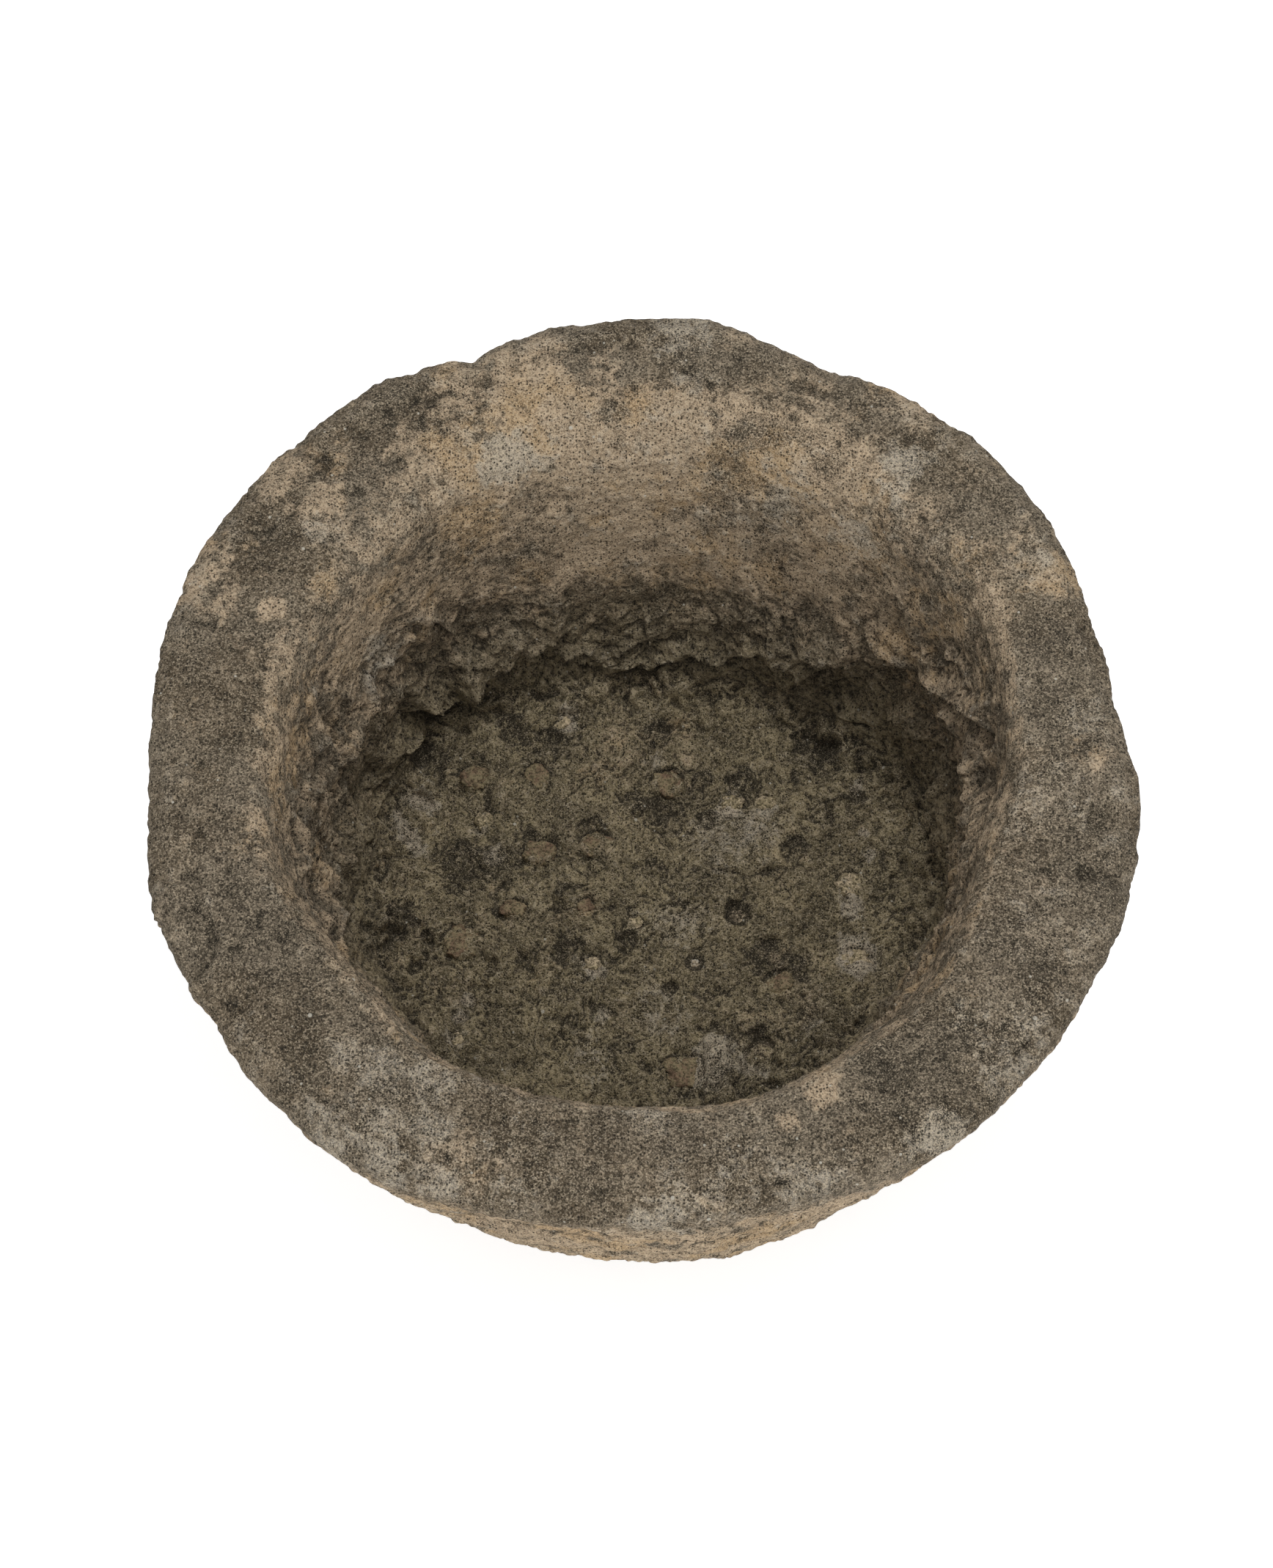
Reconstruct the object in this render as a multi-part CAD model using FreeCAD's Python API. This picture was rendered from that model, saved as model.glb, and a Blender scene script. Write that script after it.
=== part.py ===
import FreeCAD, Part
import math
import os

# A deep, flat-floored stone mortar carved from one boulder, with a broad rim and a low lug at its back.
# Millimetres, +Z up, +Y towards the lug. The origin is the middle of the flat base, under the rim's centre.

HEIGHT = 265.0              # base to the top of the rim
BOWL_DEPTH = 200.0          # top of the rim to the floor of the bowl
FLOOR_Z = HEIGHT - BOWL_DEPTH
DEGREE = 3                  # of the curves and surfaces

# Outer edge of the rim, as (degrees from +X, radius). The lug is the swell from 74 to 110 degrees.
RIM_OUTLINE = [
    (0, 272), (12, 267), (24, 272), (36, 280), (48, 283), (60, 282), (69, 280), (76, 286), (83, 294),
    (94, 292), (104, 290), (111, 283), (119, 288), (130, 291), (142, 287), (154, 285), (166, 280),
    (178, 274), (188, 273), (198, 278), (208, 279), (222, 277), (236, 278), (250, 272), (264, 269),
    (280, 267), (294, 271), (308, 275), (322, 276), (338, 275), (350, 275),
]

# The bowl, as (degrees from +X, radius at the rim's inner edge, radius at the foot of the wall).
BOWL_OUTLINE = [
    (0, 202, 180), (16, 208, 186), (30, 213, 183), (45, 210, 171), (60, 207, 160), (75, 205, 156),
    (90, 205, 154), (104, 204, 155), (118, 202, 165), (132, 199, 180), (146, 199, 173), (160, 204, 168),
    (175, 201, 166), (190, 206, 166), (205, 203, 165), (220, 195, 162), (235, 200, 160), (252, 200, 158),
    (270, 199, 158), (288, 202, 157), (306, 200, 156), (324, 199, 156), (338, 193, 162), (350, 195, 172),
]

# The outside, from the base up: height, how far it stands in from the rim's outer edge at the sides and
# back, how far at the front, where the wall hangs fuller, and how far the outline has evened out to a
# plain round (0 to 1): the lug and the dips belong to the rim and die out below it.
MEAN_RADIUS = 274.0
FRONT_ANGLE = 270.0
FRONT_SPREAD = 30.0
OUTSIDE_LEVELS = [
    (0.0, 80.0, 92.0, 0.9), (5.0, 69.0, 79.0, 0.9), (16.0, 61.0, 67.0, 0.85), (55.0, 51.0, 52.0, 0.8),
    (105.0, 41.0, 36.0, 0.7), (155.0, 28.0, 19.0, 0.5), (205.0, 15.5, 2.5, 0.15), (235.0, 3.0, 0.0, 0.0),
    (250.0, 0.0, 0.0, 0.0), (259.5, 0.8, 0.8, 0.0), (263.8, 5.0, 5.0, 0.0), (HEIGHT, 14.0, 14.0, 0.0),
]

# The inside, from above the rim down to the floor: depth below the rim's top, how far the wall has come
# in from the inner edge towards the foot (0 to 1), how far it still flares, and the extra flare of the
# worn slope at the back.
BACK_ANGLE = 90.0
BACK_SPREAD = 42.0
INSIDE_LEVELS = [
    (-6.0, 0.0, 13.0, 20.0), (0.0, 0.0, 9.0, 16.0), (5.0, 0.0, 3.5, 12.0), (14.0, 0.02, 0.0, 8.0),
    (45.0, 0.12, 0.0, 2.0), (90.0, 0.36, 0.0, 0.0), (140.0, 0.66, 0.0, 0.0), (178.0, 0.88, 0.0, 0.0),
    (193.0, 1.0, 0.0, 0.0), (BOWL_DEPTH, 1.0, -9.0, 0.0),
]

# Lumps of other rock that the stone holds, bared on the floor: x, y, radius, turn in degrees.
RED_CLASTS = [
    (-63, 37, 8.5, 20), (-28, 42, 9.0, -15), (-104, 87, 8.5, 40), (16, 84, 9.5, 0), (-65, 87, 8.0, 70),
    (-78, -2, 6.5, 10), (-34, -1, 5.0, 0), (-109, -24, 11.0, 30), (84, -52, 9.0, -20), (24, -108, 11.0, 5),
]
PALE_CLASTS = [
    (56, 69, 6.0, 30), (77, 68, 5.5, 0), (-30, -39, 5.0, 45), (128, -37, 8.0, 10), (126, 14, 7.5, 80),
    (-110, -88, 4.5, 0), (-4, -12, 4.0, 20), (-50, 124, 5.0, 0), (-97, 58, 5.5, 60),
]
CLAST_PROUD = 1.2           # how far a lump stands above the floor
CLAST_LENGTHS = (1.0, 0.82, 0.6)    # half lengths of a lump, as shares of its radius

# Pits in the floor: x, y, radius, depth. The first holds the grit and the second the pebble.
PITS = [
    (58, -4, 8.6, 9.0), (32, -37, 6.4, 6.0), (17, -55, 5.4, 5.5), (71, -31, 6.4, 4.0), (93, -37, 5.2, 3.5),
]
GRIT_RADIUS = 1.6
GRIT_LENGTHS = (1.0, 0.8, 0.8)      # half lengths of a grain, as shares of its radius
GRIT_BEDDED = 0.4                   # how high a grain's middle lies above the pit's surface, in radii
GRIT_TURN = 60.0                    # degrees from one grain to the next
GRIT_RINGS = [(0.0, 1), (3.3, 6)]   # distance from the pit's middle, grains in that ring

# The pale pebble wedged in the second pit: place, radius, half lengths as shares of it, turn in degrees,
# and how high its middle lies above the pit's bottom, in radii.
PEBBLE_X, PEBBLE_Y, PEBBLE_RADIUS = 32.0, -36.5, 2.9
PEBBLE_LENGTHS = (1.0, 0.8, 0.7)
PEBBLE_TURN = 25.0
PEBBLE_BEDDED = 0.45


def bell(angle, middle, spread):
    """1 at the middle angle, falling smoothly to 0 well beyond the spread, in degrees."""
    away = (angle - middle + 180.0) % 360.0 - 180.0
    return math.exp(-((away / spread) ** 2))


def ring(z, polar_points):
    """A closed smooth curve at height z through (degrees, radius) points."""
    points = [
        FreeCAD.Vector(r * math.cos(math.radians(a)), r * math.sin(math.radians(a)), z)
        for a, r in polar_points
    ]
    turns = [a for a, r in polar_points] + [polar_points[0][0] + 360.0]
    curve = Part.BSplineCurve()
    curve.interpolate(Points=points, PeriodicFlag=True, Parameters=turns)
    return curve


def closed_form(rings):
    """The solid whose side follows the rings from the bottom up, smooth all round, with flat ends."""
    poles = list(zip(*[curve.getPoles() for curve in rings]))
    spans = len(rings) - DEGREE
    surface = Part.BSplineSurface()
    surface.buildFromPolesMultsKnots(
        poles,
        rings[0].getMultiplicities(),
        [DEGREE + 1] + [1] * (spans - 1) + [DEGREE + 1],
        rings[0].getKnots(),
        list(range(spans + 1)),
        True,
        False,
        DEGREE,
        DEGREE,
    )
    ends = [Part.Face(Part.Wire(curve.toShape())) for curve in (rings[0], rings[-1])]
    shell = Part.Shell([surface.toShape()] + ends)
    shell.sewShape()
    return Part.Solid(shell)


def outside():
    """The boulder's dressed outside as one solid, before it is hollowed."""
    rings = []
    for z, side_inset, front_inset, evenness in OUTSIDE_LEVELS:
        at_level = []
        for angle, rim_radius in RIM_OUTLINE:
            front = bell(angle, FRONT_ANGLE, FRONT_SPREAD)
            radius = rim_radius + (MEAN_RADIUS - rim_radius) * evenness
            at_level.append((angle, radius - side_inset * (1 - front) - front_inset * front))
        rings.append(ring(z, at_level))
    return closed_form(rings)


def hollow():
    """The space of the bowl, up past the rim."""
    rings = []
    for depth, share, flare, back_flare in reversed(INSIDE_LEVELS):
        at_level = []
        for angle, edge, foot in BOWL_OUTLINE:
            radius = edge + (foot - edge) * share + flare
            at_level.append((angle, radius + back_flare * bell(angle, BACK_ANGLE, BACK_SPREAD)))
        rings.append(ring(HEIGHT - depth, at_level))
    return closed_form(rings)


def ellipsoid(x, y, z, half_lengths, turn=0.0):
    """A closed ellipsoid about (x, y, z), turned about the vertical."""
    stretch = FreeCAD.Matrix()
    stretch.scale(*half_lengths)
    stretch.rotateZ(math.radians(turn))
    stretch.move(FreeCAD.Vector(x, y, z))
    return Part.makeSphere(1.0).transformGeometry(stretch)


def lump(x, y, z, radius, lengths, turn):
    """An ellipsoid whose half lengths are shares of one radius."""
    return ellipsoid(x, y, z, [radius * share for share in lengths], turn)


def clast(x, y, radius, turn):
    """A rounded lump of other rock, most of it below the floor."""
    middle = FLOOR_Z + CLAST_PROUD - radius * CLAST_LENGTHS[2]
    return lump(x, y, middle, radius, CLAST_LENGTHS, turn)


def pit(x, y, radius, depth):
    """A round-bottomed pit cut down from the floor."""
    return ellipsoid(x, y, FLOOR_Z, (radius, radius, depth))


def pit_grit():
    """The grains that lie in rings on the bottom of the round pit."""
    x, y, radius, depth = PITS[0]
    grains = []
    for from_middle, count in GRIT_RINGS:
        bottom = FLOOR_Z - depth * math.sqrt(1 - (from_middle / radius) ** 2)
        for k in range(count):
            angle = 2 * math.pi * k / count
            grain_x = x + from_middle * math.cos(angle)
            grain_y = y + from_middle * math.sin(angle)
            grain_z = bottom + GRIT_BEDDED * GRIT_RADIUS
            grains.append(lump(grain_x, grain_y, grain_z, GRIT_RADIUS, GRIT_LENGTHS, GRIT_TURN * k))
    return grains


def pale_pebble():
    """The pale pebble wedged in the second pit."""
    depth = PITS[1][3]
    middle = FLOOR_Z - depth + PEBBLE_BEDDED * PEBBLE_RADIUS
    return lump(PEBBLE_X, PEBBLE_Y, middle, PEBBLE_RADIUS, PEBBLE_LENGTHS, PEBBLE_TURN)


def build():
    """Every piece of the object by node name."""
    red = [clast(*numbers) for numbers in RED_CLASTS]
    pale = [clast(*numbers) for numbers in PALE_CLASTS]
    grit = pit_grit()
    pebble = pale_pebble()
    pits = [pit(*numbers) for numbers in PITS]
    block = outside().cut(hollow())
    block = block.cut(pits)
    block = block.cut(red + pale + grit + [pebble])
    return {
        "stone_block": block,
        "red_clasts": Part.makeCompound(red),
        "pale_clasts": Part.makeCompound(pale),
        "pit_grit": Part.makeCompound(grit),
        "pale_pebble": pebble,
    }


def main():
    os.makedirs("parts", exist_ok=True)
    for name, shape in build().items():
        shape.exportStep(f"parts/{name}.step")
        print(name, len(shape.Solids), "solids", "valid" if shape.isValid() else "BROKEN", shape.Volume)


main()
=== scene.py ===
import itertools
import math

import bmesh
import bpy
import numpy as np
from bpy.props import FloatProperty, FloatVectorProperty, IntProperty, PointerProperty
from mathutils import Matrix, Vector
from mathutils.bvhtree import BVHTree


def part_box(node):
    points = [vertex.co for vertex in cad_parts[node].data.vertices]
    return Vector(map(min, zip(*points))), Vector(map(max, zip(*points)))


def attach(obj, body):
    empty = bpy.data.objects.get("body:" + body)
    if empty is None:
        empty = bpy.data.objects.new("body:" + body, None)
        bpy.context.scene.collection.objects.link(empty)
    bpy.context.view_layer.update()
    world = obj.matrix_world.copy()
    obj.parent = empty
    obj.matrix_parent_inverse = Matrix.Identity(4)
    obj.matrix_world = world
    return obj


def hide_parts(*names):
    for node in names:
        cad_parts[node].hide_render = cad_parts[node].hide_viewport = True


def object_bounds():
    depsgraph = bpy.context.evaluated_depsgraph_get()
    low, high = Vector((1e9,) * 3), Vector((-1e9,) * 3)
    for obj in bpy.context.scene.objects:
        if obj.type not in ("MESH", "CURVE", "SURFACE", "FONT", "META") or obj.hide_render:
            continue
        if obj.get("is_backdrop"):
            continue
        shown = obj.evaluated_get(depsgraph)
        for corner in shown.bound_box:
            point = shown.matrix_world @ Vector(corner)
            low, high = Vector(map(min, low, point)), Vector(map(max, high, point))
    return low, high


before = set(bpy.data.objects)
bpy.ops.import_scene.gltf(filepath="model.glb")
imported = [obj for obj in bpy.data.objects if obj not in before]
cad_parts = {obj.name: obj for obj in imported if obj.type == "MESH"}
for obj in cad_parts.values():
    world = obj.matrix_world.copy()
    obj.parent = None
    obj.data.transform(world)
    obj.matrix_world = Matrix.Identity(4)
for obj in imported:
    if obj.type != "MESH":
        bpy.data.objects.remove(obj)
CAD_LOW, CAD_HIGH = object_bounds()

bl_info = {
    "name": "Carved stone mortar",
    "version": (1, 0, 0),
    "blender": (4, 5, 0),
    "location": "3D View > Sidebar > Mortar",
    "description": "Builds a weathered mortar of volcanic stone around its CAD frame",
    "category": "Object",
}

MM = 0.001
TURN = 2 * math.pi
BLOCK, RED, PALE, GRIT, PEBBLE = "stone_block", "red_clasts", "pale_clasts", "pit_grit", "pale_pebble"
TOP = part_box(BLOCK)[1].z
SKIN = "mortar_stone"


# ---- Sizes and colours that a user would change ----

class ReliefSizes(bpy.types.PropertyGroup):
    """How finely the stone is cut and how deep its relief is."""

    columns: IntProperty(name="Columns", description="Mesh columns round the block, a multiple of 8",
                         default=1120)
    crag: FloatProperty(name="Crag depth", description="Height of the broken lumps low on the walls",
                        default=4.0 * MM, unit="LENGTH")
    terrace: FloatProperty(name="Ledge depth", description="How far the small ledges stand out",
                           default=4.4 * MM, unit="LENGTH")
    terrace_gap: FloatProperty(name="Ledge spacing", description="Height from one small ledge to the next",
                               default=21.0 * MM, unit="LENGTH")
    chips: FloatProperty(name="Chips", description="Height of the flat chips broken off the walls",
                         default=2.4 * MM, unit="LENGTH")
    scale_marks: FloatProperty(name="Tool marks", description="Height of the short pick marks on the walls",
                               default=1.4 * MM, unit="LENGTH")
    floor: FloatProperty(name="Floor relief", description="Height of the humps and hollows of the floor",
                         default=3.4 * MM, unit="LENGTH")
    plates: FloatProperty(name="Chipped plates", description="Height of the chipped layers of the floor",
                          default=2.5 * MM, unit="LENGTH")
    grain: FloatProperty(name="Grain", description="Height of the coarse grain on every face",
                         default=0.5 * MM, unit="LENGTH")
    crown: FloatProperty(name="Rim crown", description="How far the rim falls away to its edges",
                         default=2.6 * MM, unit="LENGTH")


class StoneColours(bpy.types.PropertyGroup):
    """Colours of the stone and of the rocks that it holds, in linear light."""

    body: FloatVectorProperty(name="Stone", description="Dressed grey-brown stone", subtype="COLOR",
                              default=(0.147, 0.116, 0.08))
    umber: FloatVectorProperty(name="Umber stone", description="Browner parts of the stone", subtype="COLOR",
                               default=(0.108, 0.077, 0.045))
    # Also the colour of the painted shade in creases, hollows, under ledges, behind lumps and on pit walls.
    shade: FloatVectorProperty(name="Dark grains", description="Dark grains and soiled pores",
                               subtype="COLOR", default=(0.016, 0.013, 0.008))
    light: FloatVectorProperty(name="Light grains", description="Pale mineral grains", subtype="COLOR",
                               default=(0.68, 0.565, 0.405))
    tan: FloatVectorProperty(name="Tan stone", description="Worn, clean stone of the slope and edges",
                             subtype="COLOR", default=(0.59, 0.447, 0.298))
    bloom: FloatVectorProperty(name="Bloom", description="Pale lime bloom", subtype="COLOR",
                               default=(0.47, 0.43, 0.36))
    # Also the colour of the painted shade that the dark share carries.
    lichen: FloatVectorProperty(name="Lichen", description="Dark crusts and soot", subtype="COLOR",
                                default=(0.065, 0.054, 0.037))
    floor: FloatVectorProperty(name="Floor silt", description="Olive silt worked into the floor",
                               subtype="COLOR", default=(0.3, 0.245, 0.142))
    fleck: FloatVectorProperty(name="Flecks", description="Small white mineral flecks", subtype="COLOR",
                               default=(0.6, 0.56, 0.47))
    red: FloatVectorProperty(name="Red rock", description="Reddish-brown lumps", subtype="COLOR",
                             default=(0.17, 0.112, 0.072))
    cream: FloatVectorProperty(name="Cream rock", description="Pale lumps", subtype="COLOR",
                               default=(0.46, 0.37, 0.25))
    white: FloatVectorProperty(name="White pebble", description="The wedged pebble", subtype="COLOR",
                               default=(0.62, 0.58, 0.5))


class StudioSettings(bpy.types.PropertyGroup):
    """Where the camera stands and how strong the lamps are."""

    elevation: FloatProperty(name="Elevation", description="Camera height angle above level",
                             default=math.radians(63.5), unit="ROTATION")
    distance: FloatProperty(name="Distance", description="Camera to the middle of the rim", default=1.7,
                            unit="LENGTH")
    lens: FloatProperty(name="Lens", description="Focal length on a 36 mm sensor, in millimetres",
                        default=71.4)
    key: FloatProperty(name="Key", description="Power of the lamp above and behind, in watts", default=20.0)
    front: FloatProperty(name="Front", description="Power of the low lamp in front, in watts", default=27.0)
    sky: FloatProperty(name="Sky", description="Strength of the even surrounding light", default=0.5)


# ---- Repeatable noise over points, all in numpy ----

CORNERS = list(itertools.product((0, 1), repeat=3))
NEIGHBOURS = list(itertools.product((-1, 0, 1), repeat=3))
SLOPES = np.array([s for s in NEIGHBOURS if sum(abs(v) for v in s) == 2], np.float32)
PRIMES = np.array([73856093, 19349663, 83492791], np.uint32)
SEED_STEP, SEED_START = 2654435, 97
MIXERS = ((15, 2246822519), (13, 3266489917))        # shifts and odd factors that stir a number's bits
LAST_SHIFT = 16
GAIN = 1.5                   # brings the noise to about -1 to 1
OCTAVE_SEEDS = 17            # from one octave's seed to the next
SPOT_STEPS = 1023            # places that a spot can take along a cell's side
FAR_CELLS = 9.0              # farther off than any spot of a neighbouring cell


def scramble(cells, seed):
    """Random whole numbers, the same each time, for whole-number cells."""
    mixed = (cells.astype(np.int64).astype(np.uint32) * PRIMES).sum(axis=1, dtype=np.uint32)
    mixed = mixed ^ np.uint32(seed * SEED_STEP + SEED_START)
    for shift, factor in MIXERS:
        mixed = (mixed ^ (mixed >> np.uint32(shift))) * np.uint32(factor)
    return mixed ^ (mixed >> np.uint32(LAST_SHIFT))


def noise(points, size, seed=0):
    """Smooth random values between about -1 and 1, whose bumps are about `size` apart."""
    places = points / size
    cells = np.floor(places).astype(np.int32)
    inside = (places - cells).astype(np.float32)
    ease = inside * inside * inside * (inside * (inside * 6 - 15) + 10)
    total = np.zeros(len(points), np.float32)
    for corner in CORNERS:
        slope = SLOPES[scramble(cells + np.array(corner, np.int32), seed) % len(SLOPES)]
        share = np.ones(len(points), np.float32)
        for axis in range(3):
            share *= ease[:, axis] if corner[axis] else 1 - ease[:, axis]
        total += share * ((inside - np.array(corner, np.float32)) * slope).sum(axis=1)
    return total * GAIN


def fractal(points, size, octaves, seed=0, roughness=0.5):
    """Noise with finer and finer bumps on its bumps."""
    total = np.zeros(len(points), np.float32)
    height = 1.0
    for octave in range(octaves):
        total += height * noise(points, size / 2 ** octave, seed + OCTAVE_SEEDS * octave)
        height *= roughness
    return total


def scattered(points, size, seed):
    """For each cell near the points: its random number, and the way to the spot in it, in cells."""
    places = points / size
    cells = np.floor(places).astype(np.int32)
    inside = (places - cells).astype(np.float32)
    for step in NEIGHBOURS:
        offset = np.array(step, np.int32)
        drawn = scramble(cells + offset, seed)
        parts = [(drawn >> np.uint32(shift)) & np.uint32(SPOT_STEPS) for shift in (0, 10, 20)]
        yield drawn, offset + np.stack(parts, axis=1).astype(np.float32) / SPOT_STEPS - inside


def chipped(points, size, seed=0):
    """Flat chips about -1 to 1 high, with steps between them: each scattered spot has a level and a tilt."""
    nearest = np.full(len(points), FAR_CELLS, np.float32)
    total = np.zeros(len(points), np.float32)
    for drawn, away in scattered(points, size, seed):
        gap = (away * away).sum(axis=1)
        level = (drawn >> np.uint32(5)) % np.uint32(256) / 255 - 0.5
        tilt = SLOPES[(drawn >> np.uint32(3)) % len(SLOPES)]
        total = np.where(gap < nearest, level - 0.7 * (away * tilt).sum(axis=1), total)
        nearest = np.minimum(nearest, gap)
    return total


def pebbled(points, size, seed=0):
    """Distance to the nearest of many scattered spots, and to the next nearest, in cells."""
    first = np.full(len(points), FAR_CELLS, np.float32)
    second = first.copy()
    for _, away in scattered(points, size, seed):
        gap = np.sqrt((away * away).sum(axis=1))
        second = np.minimum(second, np.maximum(first, gap))
        first = np.minimum(first, gap)
    return first, second


def warped(points, size, amount, seed=0):
    """The points moved about smoothly, so that what is built on them loses its straight lines."""
    return points + amount * np.stack([noise(points, size, seed + k) for k in range(3)], axis=1)


def ramp(values, low, high):
    """0 below low, 1 above high, with a smooth step between them. low may be the larger."""
    t = np.clip((values - low) / (high - low), 0, 1)
    return t * t * (3 - 2 * t)


def angle_gap(angles, middle):
    """Signed difference of angles in degrees, from -180 to 180."""
    return (angles - middle + 180.0) % 360.0 - 180.0


def round_table(angles, table):
    """A value for each angle, from (degrees, value) pairs that go once round."""
    turns = np.array([a for a, _ in table] + [table[0][0] + 360.0])
    values = np.array([v for _, v in table] + [table[0][1]])
    return np.interp((angles - table[0][0]) % 360.0 + table[0][0], turns, values)


# ---- The block's plain shape and the lumps' places, read from the CAD nodes ----

SAMPLES = 288                # angles at which the CAD surface is read
SMOOTH_WAVES = 34            # round-the-block waves that are kept; finer ones are only CAD facets
FLOOR_PROBE = 30 * MM        # radius of the circle on which the floor's level is read
FLOOR_PROBES = 24
WALL_HEIGHTS, SIDE_HEIGHTS = 60, 60          # how many heights are read inside and outside
EDGE_MARGIN = 0.3 * MM       # how far the readings stop short of the floor, the rim's top and the base
FAR = 0.6                    # metres, from where rays start outside the block
HUB = 0.04                   # radius of the base's last ring, as a share of its edge
FILLET_RISE, FILLET_LEAST, FILLET_MOST = 7 * MM, 1.5 * MM, 14 * MM
FILLET_SPREAD = 3.2          # how far the fillet at the wall's foot spreads, in rises
FLOOR, WALL, RIM, SIDE, BASE = range(5)      # the stretches of the block, from the bowl's middle outwards


def block_tree():
    """A search tree over the CAD block."""
    return BVHTree.FromObject(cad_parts[BLOCK], bpy.context.evaluated_depsgraph_get())


def floor_height(tree):
    """The level of the bowl's floor: the middle of several drops onto it."""
    drops = []
    for k in range(FLOOR_PROBES):
        angle = TURN * k / FLOOR_PROBES
        start = Vector((FLOOR_PROBE * math.cos(angle), FLOOR_PROBE * math.sin(angle), TOP + FAR))
        drops.append(tree.ray_cast(start, Vector((0, 0, -1)))[0].z)
    return float(np.median(drops))


def radii(tree, heights, outside):
    """The block's inner or outer radius at each height (rows) and sample angle (columns)."""
    table = np.zeros((len(heights), SAMPLES))
    for column in range(SAMPLES):
        angle = TURN * column / SAMPLES
        out = Vector((math.cos(angle), math.sin(angle), 0))
        for row, height in enumerate(heights):
            start = Vector((0, 0, height)) + (out * FAR if outside else Vector())
            hit = tree.ray_cast(start, -out if outside else out)[0]
            table[row, column] = math.hypot(hit.x, hit.y)
    return table


def resample(radius, height, count):
    """Each column's (radius, height) line cut into `count` evenly spaced rows."""
    rows_r = np.zeros((count, radius.shape[1]))
    rows_z = np.zeros_like(rows_r)
    for column in range(radius.shape[1]):
        r, z = radius[:, column], height[:, column]
        along = np.concatenate([[0], np.cumsum(np.hypot(np.diff(r), np.diff(z)))])
        wanted = np.linspace(0, along[-1], count)
        rows_r[:, column] = np.interp(wanted, along, r)
        rows_z[:, column] = np.interp(wanted, along, z)
    return rows_r, rows_z


def to_columns(rows, columns):
    """Rows read at the sample angles, smoothed and spread over the mesh's columns."""
    waves = np.fft.rfft(rows, axis=1)
    order = np.arange(waves.shape[1])
    waves *= np.exp(-((order / SMOOTH_WAVES) ** 4))
    return np.fft.irfft(waves, n=columns, axis=1) * columns / SAMPLES


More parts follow.
